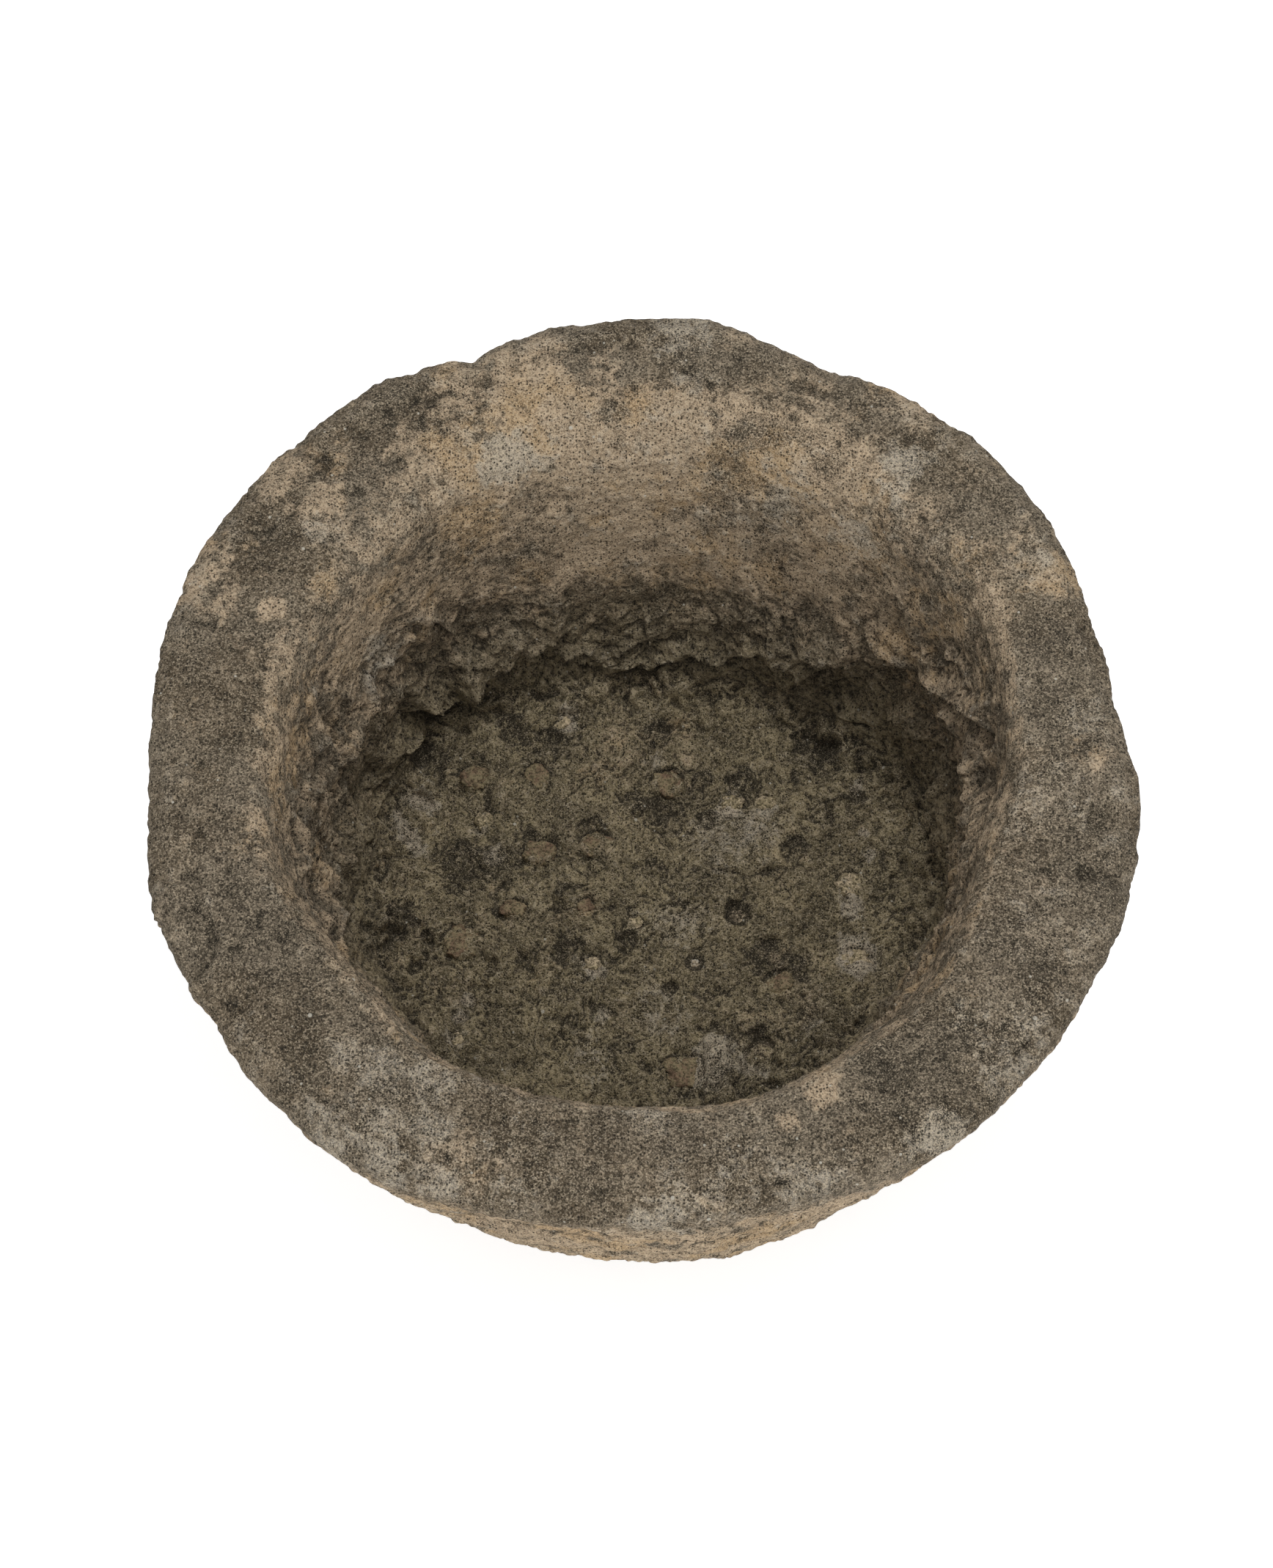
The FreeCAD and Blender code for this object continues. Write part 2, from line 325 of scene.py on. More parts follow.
class Layout:
    """Where every vertex of the block lies before its relief, and how far along which stretch of it."""

    WALL_ROWS, RIM_ROWS, SIDE_ROWS, BASE_ROWS = 176, 52, 104, 9

    def __init__(self, columns):
        self.columns = columns
        self.half = columns // 8
        tree = block_tree()
        self.floor_z = floor_height(tree)
        wall_z = np.linspace(self.floor_z + EDGE_MARGIN, TOP - EDGE_MARGIN, WALL_HEIGHTS)
        side_z = np.linspace(TOP - EDGE_MARGIN, EDGE_MARGIN, SIDE_HEIGHTS)
        wall_r = radii(tree, wall_z, False)
        side_r = radii(tree, side_z, True)
        level = np.ones((1, SAMPLES))
        wall = resample(wall_r, wall_z[:, None] * level, self.WALL_ROWS)
        rim = resample(np.stack([wall_r[-1], side_r[0]]), TOP * np.ones((2, SAMPLES)), self.RIM_ROWS)
        side = resample(side_r, side_z[:, None] * level, self.SIDE_ROWS)
        shrink = np.linspace(1, HUB, self.BASE_ROWS + 1)[1:, None]
        base = (side[0][-1] * shrink, 0 * shrink * level)
        wall[1][0] = self.floor_z
        side[1][-1] = 0
        rim, side = [(r[1:], z[1:]) for r, z in (rim, side)]
        stretches = [(WALL, *wall), (RIM, *rim), (SIDE, *side), (BASE, *base)]
        radius = np.concatenate([r for _, r, _ in stretches])
        height = np.concatenate([z for _, _, z in stretches])
        self.radius, self.height = to_columns(radius, columns), to_columns(height, columns)
        self.rows = len(self.radius)
        self.ring_stretch = np.concatenate([np.full(len(r), code) for code, r, _ in stretches])
        self.ring_along = np.concatenate([np.linspace(0, 1, len(r)) for _, r, _ in stretches])
        self.lip_in = self.radius[self.WALL_ROWS - 1]
        self.lip_out = self.radius[self.WALL_ROWS + self.RIM_ROWS - 2]
        self.gather()

    def disc(self):
        """The floor: a square net pressed into a disc, so that it has no pinched middle."""
        side = np.linspace(-1, 1, 2 * self.half + 1)
        a, b = np.meshgrid(side, side, indexing="ij")
        share = np.maximum(abs(a), abs(b))
        wide = abs(a) >= abs(b)
        with np.errstate(divide="ignore", invalid="ignore"):
            angle = np.where(wide, math.pi / 4 * b / a, math.pi / 2 - math.pi / 4 * a / b)
        angle = np.where((wide & (a < 0)) | (~wide & (b < 0)), angle + math.pi, angle)
        angle[self.half, self.half] = 0
        turns = np.append(np.arange(self.columns), self.columns) * TURN / self.columns
        foot = np.append(self.radius[0], self.radius[0][0])
        reach = share * np.interp(angle % TURN, turns, foot)
        return reach * np.cos(angle), reach * np.sin(angle), share

    def edge_of_disc(self):
        """The net's edge points in column order, from +X the way of +Y."""
        n = 2 * self.half
        right = [(n, j) for j in range(self.half, n)]
        back = [(i, n) for i in range(n, 0, -1)]
        left = [(0, j) for j in range(n, 0, -1)]
        front = [(i, 0) for i in range(0, n)]
        last = [(n, j) for j in range(0, self.half)]
        return [i * (n + 1) + j for i, j in right + back + left + front + last]

    def gather(self):
        """All vertices in one list: the net first, then the rings above its edge, then the base's middle."""
        x, y, share = self.disc()
        angles = np.arange(self.columns) * TURN / self.columns
        rings_x = self.radius[1:] * np.cos(angles)
        rings_y = self.radius[1:] * np.sin(angles)
        counts = (x.size, rings_x.size, 1)
        self.points = np.concatenate([
            np.stack([x.ravel(), y.ravel(), np.full(x.size, self.floor_z)], axis=1),
            np.stack([rings_x.ravel(), rings_y.ravel(), self.height[1:].ravel()], axis=1),
            [[0, 0, 0]],
        ])
        self.stretch = np.concatenate([
            np.full(counts[0], FLOOR), np.repeat(self.ring_stretch[1:], self.columns), [BASE],
        ]).astype(int)
        self.along = np.concatenate([share.ravel(), np.repeat(self.ring_along[1:], self.columns), [1]])
        self.net_size = counts[0]
        edge = np.array(self.edge_of_disc())
        rings = self.net_size + np.arange(counts[1]).reshape(self.rows - 1, self.columns)
        self.rings = np.concatenate([edge[None], rings])
        self.angles = np.degrees(np.arctan2(self.points[:, 1], self.points[:, 0])) % 360.0
        self.reach = np.hypot(self.points[:, 0], self.points[:, 1])
        self.foot = self.at_angles(self.radius[0])
        self.level = self.points[:, 2] - self.floor_z
        self.settle_foot()
        self.above_floor = self.points[:, 2] - self.floor_z

    def at_angles(self, ring):
        """A ring's values at every vertex's angle."""
        turns = np.arange(self.columns + 1) * 360.0 / self.columns
        return np.interp(self.angles, turns, np.append(ring, ring[0]))

    def settle_foot(self):
        """A ragged fillet of silt and rubble where the wall meets the floor, in place of a sharp corner."""
        flat = self.points * (1, 1, 0)
        rise = FILLET_RISE * (1 + 0.9 * noise(flat, 34 * MM, 71) + 0.5 * noise(flat, 12 * MM, 72))
        rise = np.clip(rise, FILLET_LEAST, FILLET_MOST)
        off = np.clip((self.foot - self.reach) / (FILLET_SPREAD * rise), 0, 1)
        up = np.clip(self.level / (FILLET_SPREAD * rise), 0, 1)
        share = np.where(self.stretch == WALL, (1 - up) ** 2, 0)
        share = np.where(self.stretch == FLOOR, (1 - off) ** 2, share)
        self.points[:, 2] += rise * share
        inward = 0.35 * rise * share
        self.points[:, :2] *= 1 - (inward / np.maximum(self.reach, MM))[:, None]

    def faces(self):
        """Corner numbers of every quad, and of the triangles that close the base."""
        n = 2 * self.half
        corner = (np.arange(n)[:, None] * (n + 1) + np.arange(n)).ravel()
        floor = np.stack([corner, corner + n + 1, corner + n + 2, corner + 1], axis=1)
        low, high = self.rings[:-1], self.rings[1:]
        sides = np.stack([low, high, np.roll(high, -1, 1), np.roll(low, -1, 1)], axis=-1).reshape(-1, 4)
        last = self.rings[-1]
        hub = np.full(self.columns, len(self.points) - 1)
        return floor, sides, np.stack([last, hub, np.roll(last, -1)], axis=1)

    def normals(self):
        """Directions out of the stone, turning smoothly from the floor's to the wall's at its foot."""
        out = np.zeros_like(self.points)
        places = self.points[self.rings]
        across = np.roll(places, -1, 1) - np.roll(places, 1, 1)
        up = np.gradient(places, axis=0)
        turned = np.cross(up, across)
        turned /= np.linalg.norm(turned, axis=2, keepdims=True) + 1e-12
        keep = self.ring_stretch < BASE
        out[self.rings[keep]] = turned[keep]
        low = ramp(self.level, 30 * MM, 0) * (self.stretch == WALL)
        out[:, 2] += 1.2 * low
        at_foot = out[self.rings[1]]
        at_foot = np.stack([self.at_angles(at_foot[:, axis]) for axis in range(3)], axis=1)
        lean = ramp(self.foot - self.reach, 26 * MM, 0)[:, None]
        on_floor = self.stretch == FLOOR
        out[on_floor] = (at_foot * lean + np.array([0, 0, 1]) * (1 - lean))[on_floor]
        out[self.stretch == BASE] = (0, 0, -1)
        return out / np.linalg.norm(out, axis=1, keepdims=True)


def lumps_of(node):
    """The separate solids of a CAD node, each as (middle, half lengths)."""
    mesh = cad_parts[node].data
    points = np.zeros(len(mesh.vertices) * 3)
    mesh.vertices.foreach_get("co", points)
    points = points.reshape(-1, 3)
    keys = {}
    owner = [keys.setdefault(tuple(np.round(p, 6)), len(keys)) for p in points]
    parent = list(range(len(keys)))

    def root(k):
        while parent[k] != k:
            parent[k] = parent[parent[k]]
            k = parent[k]
        return k

    for a, b in (edge.vertices for edge in mesh.edges):
        parent[root(owner[a])] = root(owner[b])
    groups = {}
    for point, key in zip(points, owner):
        groups.setdefault(root(key), []).append(point)
    boxes = [(np.min(g, axis=0), np.max(g, axis=0)) for g in groups.values()]
    boxes.sort(key=lambda box: tuple(box[0]))
    return [((low + high) / 2, (high - low) / 2) for low, high in boxes]


# ---- Relief: how far each point stands out of the plain shape, in metres ----

# Height above the floor at which the broken, craggy part of the wall gives way to the worn part.
CRAG_TOP = [
    (0, 165), (30, 150), (50, 105), (75, 78), (100, 72), (120, 95), (140, 130), (160, 165), (200, 160),
    (240, 120), (300, 120), (340, 165),
]

# Large ledges of the bowl wall, each a list of (degrees, height above the floor) along its lip, then how
# far the lip overhangs and how high its hump reaches above it. Heights and sizes in millimetres.
LEDGES = [
    ([(128, 74), (131, 101), (135, 110)], 6, 16),
    ([(107, 50), (110, 45), (115, 42), (120, 36), (125, 31), (129, 28)], 10, 30),
    ([(127, 29), (130, 24), (133, 10), (136, 12), (138, 24), (141, 42)], 11, 26),
    ([(139, 4), (142, 6), (146, 14), (149, 26)], 6, 14),
    ([(98, 20), (104, 24), (108, 30)], 5, 12),
    ([(100, 4), (104, 4), (110, 5), (118, 6), (125, 5)], 5, 9),
    ([(80, 24), (86, 17), (92, 14), (97, 12)], 6, 14),
    ([(84, 40), (90, 36), (95, 30)], 5, 14),
    ([(66, 34), (72, 26), (78, 30)], 6, 15),
    ([(54, 30), (58, 40), (64, 44), (69, 38)], 6, 18),
    ([(47, 62), (52, 55), (56, 58)], 6, 15),
    ([(35, 91), (38, 93), (42, 92)], 6, 12),
    ([(14, 146), (20, 126), (25, 111), (32, 97)], 8, 18),
    ([(19, 100), (23, 99), (27, 97)], 5, 10),
    ([(27, 50), (31, 50), (35, 47)], 6, 14),
    ([(4, 14), (9, 28), (14, 36), (18, 41)], 7, 14),
    ([(346, 134), (356, 122), (5, 104), (14, 120)], 7, 18),
    ([(355, 60), (2, 72), (10, 80)], 6, 14),
    ([(150, 90), (156, 80), (163, 84)], 6, 16),
    ([(164, 120), (170, 112), (176, 118)], 5, 14),
    ([(168, 50), (174, 44), (180, 52)], 6, 14),
    ([(184, 140), (188, 128), (193, 134)], 5, 12),
    ([(186, 84), (191, 78), (197, 86)], 6, 16),
]

# Hollows of the floor as (x, y, radius, depth), millimetres; a negative depth is a hump. The first two pits
# hold the grit and the pebble.
PITS = [
    (58, -4, 8.4, 8.6), (32, -37, 6.2, 5.6), (17, -55, 5.2, 5.2), (71, -31, 6.2, 3.7),
    (93, -37, 5.0, 3.2),
]
HOLLOWS = [
    (-112, -40, 27, 5.0), (-142, -26, 18, 4.0), (-43, -32, 10, 3.0), (-8, -25, 7, 3.0), (19, 86, 9, 2.6),
    (62, 78, 13, 2.8), (37, 84, 8, 2.0), (112, 98, 12, 3.0), (101, 111, 8, 2.5), (-79, -2, 8, 2.0),
    (68, -95, 16, 4.0), (40, -104, 20, -2.5), (-79, 116, 11, 2.6), (-56, 108, 10, 2.4), (20, -6, 8, 1.5),
    (-105, 92, 10, 2.0), (-135, 98, 13, 4.0), (94, 36, 9, 2.0), (-25, 12, 10, -1.5), (104, -17, 8, 1.6),
    (39, 58, 7, 2.0), (-31, 48, 11, 1.6), (-62, 40, 11, 1.6), (9, 60, 14, 2.0), (-105, 22, 16, 1.6),
    (128, 60, 14, 2.2), (9, 116, 8, 2.2), (-46, 3, 9, 1.6), (-137, 60, 10, -2.2), (-150, 48, 8, -2.0),
]
# The floor's crack as (x, y) in millimetres, and the x between which it opens and closes.
CRACK = [(39, 25), (52, 23), (65, 20), (77, 24), (97, 27), (108, 27)]
CRACK_OPENS, CRACK_CLOSES = (40, 52), (112, 100)


def ledge_lines(points, angles, heights):
    """For each named ledge: height above its ragged lip, its share of each point, its reach and rise."""
    jag = 2.4 * MM * noise(points, 9 * MM, 301) + 2.2 * MM * noise(points, 22 * MM, 302)
    for line, reach, rise in LEDGES:
        start = line[0][0]
        turned = angle_gap(angles, start)
        steps = [angle_gap(a, start) for a, _ in line]
        lip = np.interp(turned, steps, [h * MM for _, h in line]) + jag
        ends = ramp(turned, steps[0] - 3, steps[0] + 1.5) * ramp(turned, steps[-1] + 3, steps[-1] - 1.5)
        yield heights - lip, ends, reach * MM, rise * MM


def ledge_relief(points, angles, heights):
    """Lips that overhang a hollow below them, along the named lines."""
    total = np.zeros(len(points))
    for above, ends, reach, rise in ledge_lines(points, angles, heights):
        hump = np.exp(-((above / rise) ** 2)) * 1.25 * reach
        under = -0.5 * reach * np.exp(-((above / (0.6 * rise)) ** 2))
        total += ends * (under + (hump - under) * ramp(above, -0.8 * MM, 0.8 * MM))
    return total


def terrace_relief(points, heights, sizes, seed):
    """Broken steps at wandering heights: each swells downwards and ends in a sharp lip."""
    wander = 24 * MM * fractal(points, 70 * MM, 3, seed, 0.45)
    steps = (heights + wander) / sizes.terrace_gap
    fall = 1 - (steps - np.floor(steps))
    lip = fall ** 2.4 * ramp(fall, 1.0, 0.92) - 0.25 * ramp(fall, 0.22, 0.0)
    patchy = ramp(noise(points, 26 * MM, seed + 5), -0.1, 0.4)
    return sizes.terrace * patchy * (lip - 0.25)


def wall_relief(points, angles, heights, sizes):
    """Everything that is cut into or left standing on the bowl's wall."""
    top = round_table(angles, CRAG_TOP) * MM + 14 * MM * noise(points, 40 * MM, 40)
    craggy = ramp(heights, top + 10 * MM, top - 24 * MM)
    bent = warped(points, 30 * MM, 9 * MM, 11)
    lumps = fractal(bent, 38 * MM, 3, 12, 0.6)
    creases = abs(fractal(bent * (1, 1, 1.3), 21 * MM, 3, 21, 0.6)) - 0.3
    broken = sizes.crag * (0.9 * lumps + 0.25 * creases)
    broken += 0.75 * terrace_relief(points, heights, sizes, 61)
    chips = chipped(warped(points, 12 * MM, 3 * MM, 41), 17 * MM, 44)
    chips += 0.4 * chipped(warped(points, 6 * MM, 1.5 * MM, 47), 7 * MM, 50)
    broken += sizes.chips * chips
    scales = terrace_relief(points * 3.6, heights * 3.6, sizes, 91)
    slanted = warped(points, 45 * MM, 18 * MM, 27)
    marks = noise(slanted * (1, 1, 2.0), 9.5 * MM, 31) + 0.5 * noise(slanted * (1, 1, 1.7), 4.4 * MM, 32)
    near, next_near = pebbled(warped(slanted * (1, 1, 1.6), 9 * MM, 3 * MM, 33), 6.4 * MM, 34)
    marks += 0.7 * ramp(next_near - near, 0.0, 0.3) - 0.4 * near ** 2
    pocks = -ramp(pebbled(bent, 13 * MM, 35)[0], 0.34, 0.12)
    worn = 2.0 * MM * fractal(points, 46 * MM, 4, 51) + 1.2 * MM * pocks * (1 - 0.5 * craggy)
    worn += (0.06 + 0.08 * craggy) * scales + sizes.scale_marks * marks * (0.32 + 0.2 * craggy)
    return worn + craggy * broken


def around_lumps(points):
    """For each bared lump: distance from its middle in half lengths, and 0 in front of it to 1 behind it."""
    ragged = 0.16 * noise(points, 7 * MM, 125)
    for middle, half in lumps_of(RED) + lumps_of(PALE):
        away = points[:, :2] - middle[:2]
        gap = np.hypot(away[:, 0] / half[0], away[:, 1] / half[1]) + ragged
        yield gap, ramp(away[:, 1] / (np.hypot(away[:, 0], away[:, 1]) + MM), -0.2, 0.9)


def hollow_gaps(points):
    """For each hollow or hump of the floor: distance from its middle in radii, ragged, and its depth."""
    ragged = 0.3 * noise(points, 9 * MM, 122) + 0.16 * noise(points, 3.4 * MM, 123)
    for x, y, radius, depth in HOLLOWS:
        yield np.hypot(points[:, 0] - x * MM, points[:, 1] - y * MM) / (radius * MM) + ragged, depth * MM


def from_pits(points):
    """For each pit: distance from its middle in radii, with a ragged edge, and its depth."""
    ragged = 0.14 * noise(points, 6 * MM, 120) + 0.08 * noise(points, 2.6 * MM, 121)
    for x, y, radius, depth in PITS:
        yield np.hypot(points[:, 0] - x * MM, points[:, 1] - y * MM) / (radius * MM) + ragged, depth * MM


def floor_relief(points, sizes):
    """Humps, hollows, chipped plates, pits and the crack of the bowl's floor."""
    flat = points[:, :2]
    bent = warped(points, 20 * MM, 5 * MM, 111)
    humps = 1.2 * fractal(bent, 52 * MM, 3, 113, 0.5) + 0.6 * fractal(bent, 15 * MM, 3, 114, 0.6)
    total = sizes.floor * humps
    level = 2.6 * fractal(warped(points, 9 * MM, 2.5 * MM, 116), 34 * MM, 3, 117, 0.5)
    total += sizes.plates * (np.floor(level) + ramp(level - np.floor(level), 0.86, 1.0) - level)
    near = pebbled(bent, 11 * MM, 115)[0]
    total -= 1.4 * MM * ramp(near, 0.3, 0.14) * ramp(noise(points, 40 * MM, 119), -0.1, 0.4)
    for gap, depth in hollow_gaps(points):
        total -= depth * ramp(gap, 1.08, 0.7)
    for gap, behind in around_lumps(points):
        total *= 1 - 0.75 * ramp(gap, 1.3, 0.9)
        total -= 2.4 * MM * behind * np.exp(-(((gap - 1.2) / 0.24) ** 2))
    for gap, depth in from_pits(points):
        inside = ramp(gap, 1.06, 0.84)
        total = total * (1 - 0.8 * inside) - depth * inside * (0.75 + 0.25 * ramp(gap, 0.9, 0.2))
    line = np.interp(flat[:, 0], [x * MM for x, _ in CRACK], [y * MM for _, y in CRACK])
    off = flat[:, 1] - line + 2 * MM * noise(points, 8 * MM, 130)
    ends = ramp(flat[:, 0] / MM, *CRACK_OPENS) * ramp(flat[:, 0] / MM, *CRACK_CLOSES)
    split = 2.4 * MM * np.exp(-((off / (1.7 * MM)) ** 2))
    raised = 1.8 * MM * ramp(off, -1 * MM, 2 * MM) * np.exp(-((off / (12 * MM)) ** 2))
    return total + ends * (raised - split)


def shaded_and_soiled(lay):
    """Painted shade, 0 to 1: under ledges, behind lumps and hollows' back edges, on pit walls."""
    points = lay.points
    total = np.zeros(len(points))
    wall = lay.stretch == WALL
    under = np.zeros(int(wall.sum()))
    for above, ends, reach, _ in ledge_lines(points[wall], lay.angles[wall], lay.above_floor[wall]):
        # A strip of painted shade just below each ledge's lip.
        strip = ramp(above, -0.9 * reach, -0.2 * reach) * ramp(above, 1.2 * MM, -0.5 * MM)
        under = np.maximum(under, ends * strip)
    total[wall] = under
    floor = lay.stretch == FLOOR
    places = points[floor]
    marks = np.zeros(len(places))
    back = ramp(noise(places, 16 * MM, 126), -0.5, 0.1)
    # Painted shade in the groove behind each lump and along the back edge of each hollow.
    for gap, behind in around_lumps(places):
        marks = np.maximum(marks, behind * back * np.exp(-(((gap - 1.24) / 0.2) ** 2)))
    for (gap, depth), (_, y, radius, _) in zip(hollow_gaps(places), HOLLOWS):
        behind = ramp((places[:, 1] - y * MM) / (radius * MM), 0.0, 0.6)
        line = np.exp(-(((gap - 0.98) * radius / 1.7) ** 2))
        marks = np.maximum(marks, (depth > 0) * behind * back * line)
    # Painted shade on the pit walls.
    for gap, depth in from_pits(places):
        marks = np.maximum(marks, ramp(gap, 1.12, 0.95) * ramp(gap, 0.42, 0.62))
    total[floor] = marks
    return total


def rubble_relief(points):
    """Lumps of silted rubble along the foot of the wall."""
    lumps = abs(fractal(warped(points, 16 * MM, 5 * MM, 151), 22 * MM, 3, 152, 0.6))
    return 6 * MM * (lumps - 0.3)


def rim_relief(points):
    """The worn, faintly lumpy top of the rim."""
    low = 1.6 * MM * fractal(points, 64 * MM, 2, 201)
    dents = -1.3 * MM * ramp(pebbled(points, 21 * MM, 207)[0], 0.3, 0.1)
    return low + 0.9 * MM * fractal(points, 17 * MM, 3, 203, 0.6) + dents - 0.2 * MM


def side_relief(points):
    """The rough-dressed outside, with shallow pick marks that run level."""
    low = 3.2 * MM * (fractal(points, 75 * MM, 3, 221) - 0.25)
    bent = warped(points, 30 * MM, 7 * MM, 225)
    picks = noise(bent * (1, 1, 2.4), 15 * MM, 231) + 0.6 * noise(bent * (1, 1, 2.2), 7 * MM, 232)
    scars = -2.2 * MM * ramp(pebbled(bent * (1, 1, 1.7), 34 * MM, 235)[0], 0.36, 0.16)
    return low + 1.5 * MM * picks + scars


# Chips and notches of the rim's outer edge: degrees, half width in degrees, depth and reach down in mm.
CHIPS = [
    (110.6, 1.7, 4, 26), (67.5, 2.2, 3, 20), (118, 1.2, 1.5, 14), (96, 1.5, 1.2, 10), (134, 1.3, 2, 14),
    (146, 1.6, 1.6, 12), (31, 1.3, 2.0, 16), (18, 1.5, 2.2, 16), (7, 1.1, 2.0, 14), (351, 2.0, 3.0, 22),
    (344, 1.3, 2.4, 14), (330, 1.4, 1.6, 12), (196, 1.2, 1.5, 12), (214, 1.5, 2.0, 14),
    (236, 1.2, 1.6, 10), (303, 1.3, 1.8, 12), (320, 1.6, 2.0, 12), (161, 1.2, 1.4, 10),
    (52, 1.6, 1.8, 12),
]
# How far the worn edge stands out of, or in from, the plain outline: (degrees, mm).
EDGE_SWELL = [
    (0, 0.5), (12, 2), (24, 2), (36, 3), (54, 4), (66, 4), (78, 4.5), (86, 2), (96, 3.5), (106, 3),
    (116, 6), (122, 4), (128, 1), (150, 2.5), (165, 1), (176, -1), (186, 0), (198, 2), (206, 0),
    (214, -3), (222, 0), (250, 0), (286, -2), (296, 0), (318, -2), (330, 0), (340, 1), (354, 2),
]
# The flaked patch of the rim's edge: degrees, half width in degrees, inner and outer radius, depth in mm.
FLAKE = (204.3, 4.6, 250, 272, 2.4)


def chip_relief(points, angles, lay):
    """The rim's outer edge: its own swells, and the bites out of it."""
    depth_below = TOP - points[:, 2]
    near = (lay.stretch == RIM) * ramp(lay.along, 0.8, 1.0)
    near = np.where(lay.stretch == SIDE, ramp(depth_below, 90 * MM, 30 * MM), near)
    total = near * round_table(angles, EDGE_SWELL) * MM
    outer = (lay.stretch == SIDE) | ((lay.stretch == RIM) & (lay.along > 0.7))
    for middle, half, depth, reach in CHIPS:
        bite = np.exp(-((angle_gap(angles, middle) / half) ** 2))
        total -= outer * bite * depth * MM * ramp(depth_below, reach * MM, 0.3 * reach * MM)
    middle, half, start, end, depth = FLAKE
    reach = np.hypot(points[:, 0], points[:, 1])
    edge = 1.6 * MM * noise(points, 8 * MM, 140)
    gap = np.hypot(angle_gap(angles, middle) / half, (reach - end * MM + edge) / ((end - start) * MM))
    total -= outer * depth * MM * ramp(gap, 1.06, 0.94)
    return total


LIP_FOOT, LIP_TOP = 172 * MM, 199 * MM       # heights between which the wall turns into the rim


def relief(lay, sizes):
    """How far every vertex moves out of the plain shape along its direction."""
    points, stretch, angles, heights = lay.points, lay.stretch, lay.angles, lay.above_floor
    total = np.zeros(len(points))
    climb = np.where(stretch == WALL, ramp(lay.level, 0, 18 * MM), 0)
    lip = np.where(stretch == RIM, 1, np.where(stretch == WALL, ramp(heights, LIP_FOOT, LIP_TOP), 0))
    side = np.where(stretch == SIDE, ramp(TOP - points[:, 2], 6 * MM, 40 * MM), 0)

    def add(share, function, *others):
        """Add one kind of relief where it has a share, by that share."""
        some = share > 0
        picked = [other[some] if isinstance(other, np.ndarray) else other for other in others]
        total[some] += share[some] * function(points[some], *picked)

    add(climb * (1 - lip), wall_relief, angles, heights, sizes)
    add(climb, ledge_relief, angles, heights)
    add(np.where(stretch <= WALL, 1 - climb, 0), floor_relief, sizes)
    near_foot = np.where(stretch == FLOOR, ramp(lay.foot - lay.reach, 22 * MM, 4 * MM), 0)
    near_foot = np.where(stretch == WALL, ramp(lay.level, 26 * MM, 4 * MM), near_foot)
    add(near_foot, rubble_relief)
    add(np.where(stretch == SIDE, 1 - side, lip), rim_relief)
    add(side, side_relief)
    total += chip_relief(points, angles, lay)
    total += sizes.grain * (noise(points, 5.4 * MM, 401) + 0.8 * noise(points, 3.4 * MM, 402))
    total *= np.where(stretch >= SIDE, ramp(points[:, 2], 0, 7 * MM), 1)
    total[stretch == BASE] = 0
    return total


def crown_drop(lay, sizes):
    """How far the rim sinks towards its two edges, which leaves it gently crowned."""
    inner, outer = lay.at_angles(lay.lip_in), lay.at_angles(lay.lip_out)
    off = np.clip((2 * lay.reach - inner - outer) / (outer - inner), -1.5, 1.0)
    return sizes.crown * off ** 2 * ramp(lay.points[:, 2], TOP - 45 * MM, TOP)


# ---- Weather marks and painted shade: where the stone is dark, tan, bloomed or silted, kept as a colour attribute ----

# Patches as (x, y, z, radius, strength), in millimetres.
DARK = [
    (-127, 225, 265, 24, .7), (-165, 191, 265, 34, .5), (-24, 228, 265, 26, .55), (36, 242, 265, 24, .65),
    (48, 222, 265, 16, .5), (168, 180, 262, 20, .4), (-240, 75, 265, 30, .3), (-215, 55, 265, 25, .3),
    (-187, -112, 265, 48, .45), (-176, -176, 265, 38, .4), (-45, -208, 265, 14, .5),
    (146, -186, 265, 42, .75), (128, -216, 265, 22, .5), (214, -131, 265, 20, .5),
    (240, -70, 265, 26, .35), (228, 75, 265, 20, .4), (-20, -236, 265, 32, .3), (-38, 281, 262, 15, .5),
    (-85, 262, 265, 14, .3), (-208, 135, 265, 20, .45), (-45, 184, 225, 13, .9), (-7, 178, 220, 9, .8),
    (-135, 135, 205, 16, .7), (-120, 170, 220, 14, .6), (-112, 150, 190, 20, .45), (90, 200, 262, 20, .3),
    (190, 110, 262, 16, .4), (-150, 236, 262, 12, .5), (175, -60, 262, 12, .3), (250, 120, 262, 10, .4),
    (-210, -20, 265, 24, .25), (-225, 20, 265, 20, .25),
]
PALE_BLOOM = [
    (22, 272, 265, 20, .8), (30, 250, 265, 11, .6), (-79, 197, 262, 15, .8), (-100, 216, 265, 14, .4),
    (-191, 146, 265, 15, .6), (154, 193, 262, 18, .8), (-131, -202, 265, 42, .6),
    (-105, -240, 265, 22, .4), (8, -216, 265, 24, .4), (60, -240, 265, 26, .45), (157, -221, 262, 14, .8),
    (195, -165, 265, 26, .4), (225, -30, 265, 30, .35), (205, -100, 265, 24, .35),
    (10, -266, 258, 18, .5), (245, 22, 262, 12, .5), (-60, -236, 265, 18, .35), (60, 175, 215, 20, .6),
    (85, 185, 230, 18, .6), (120, 150, 225, 18, .6), (214, 124, 262, 16, .55), (-150, 105, 180, 22, .6),
    (-120, 120, 160, 18, .5), (-183, 60, 235, 12, .35), (185, 30, 262, 14, .35), (176, 90, 250, 12, .3),
]
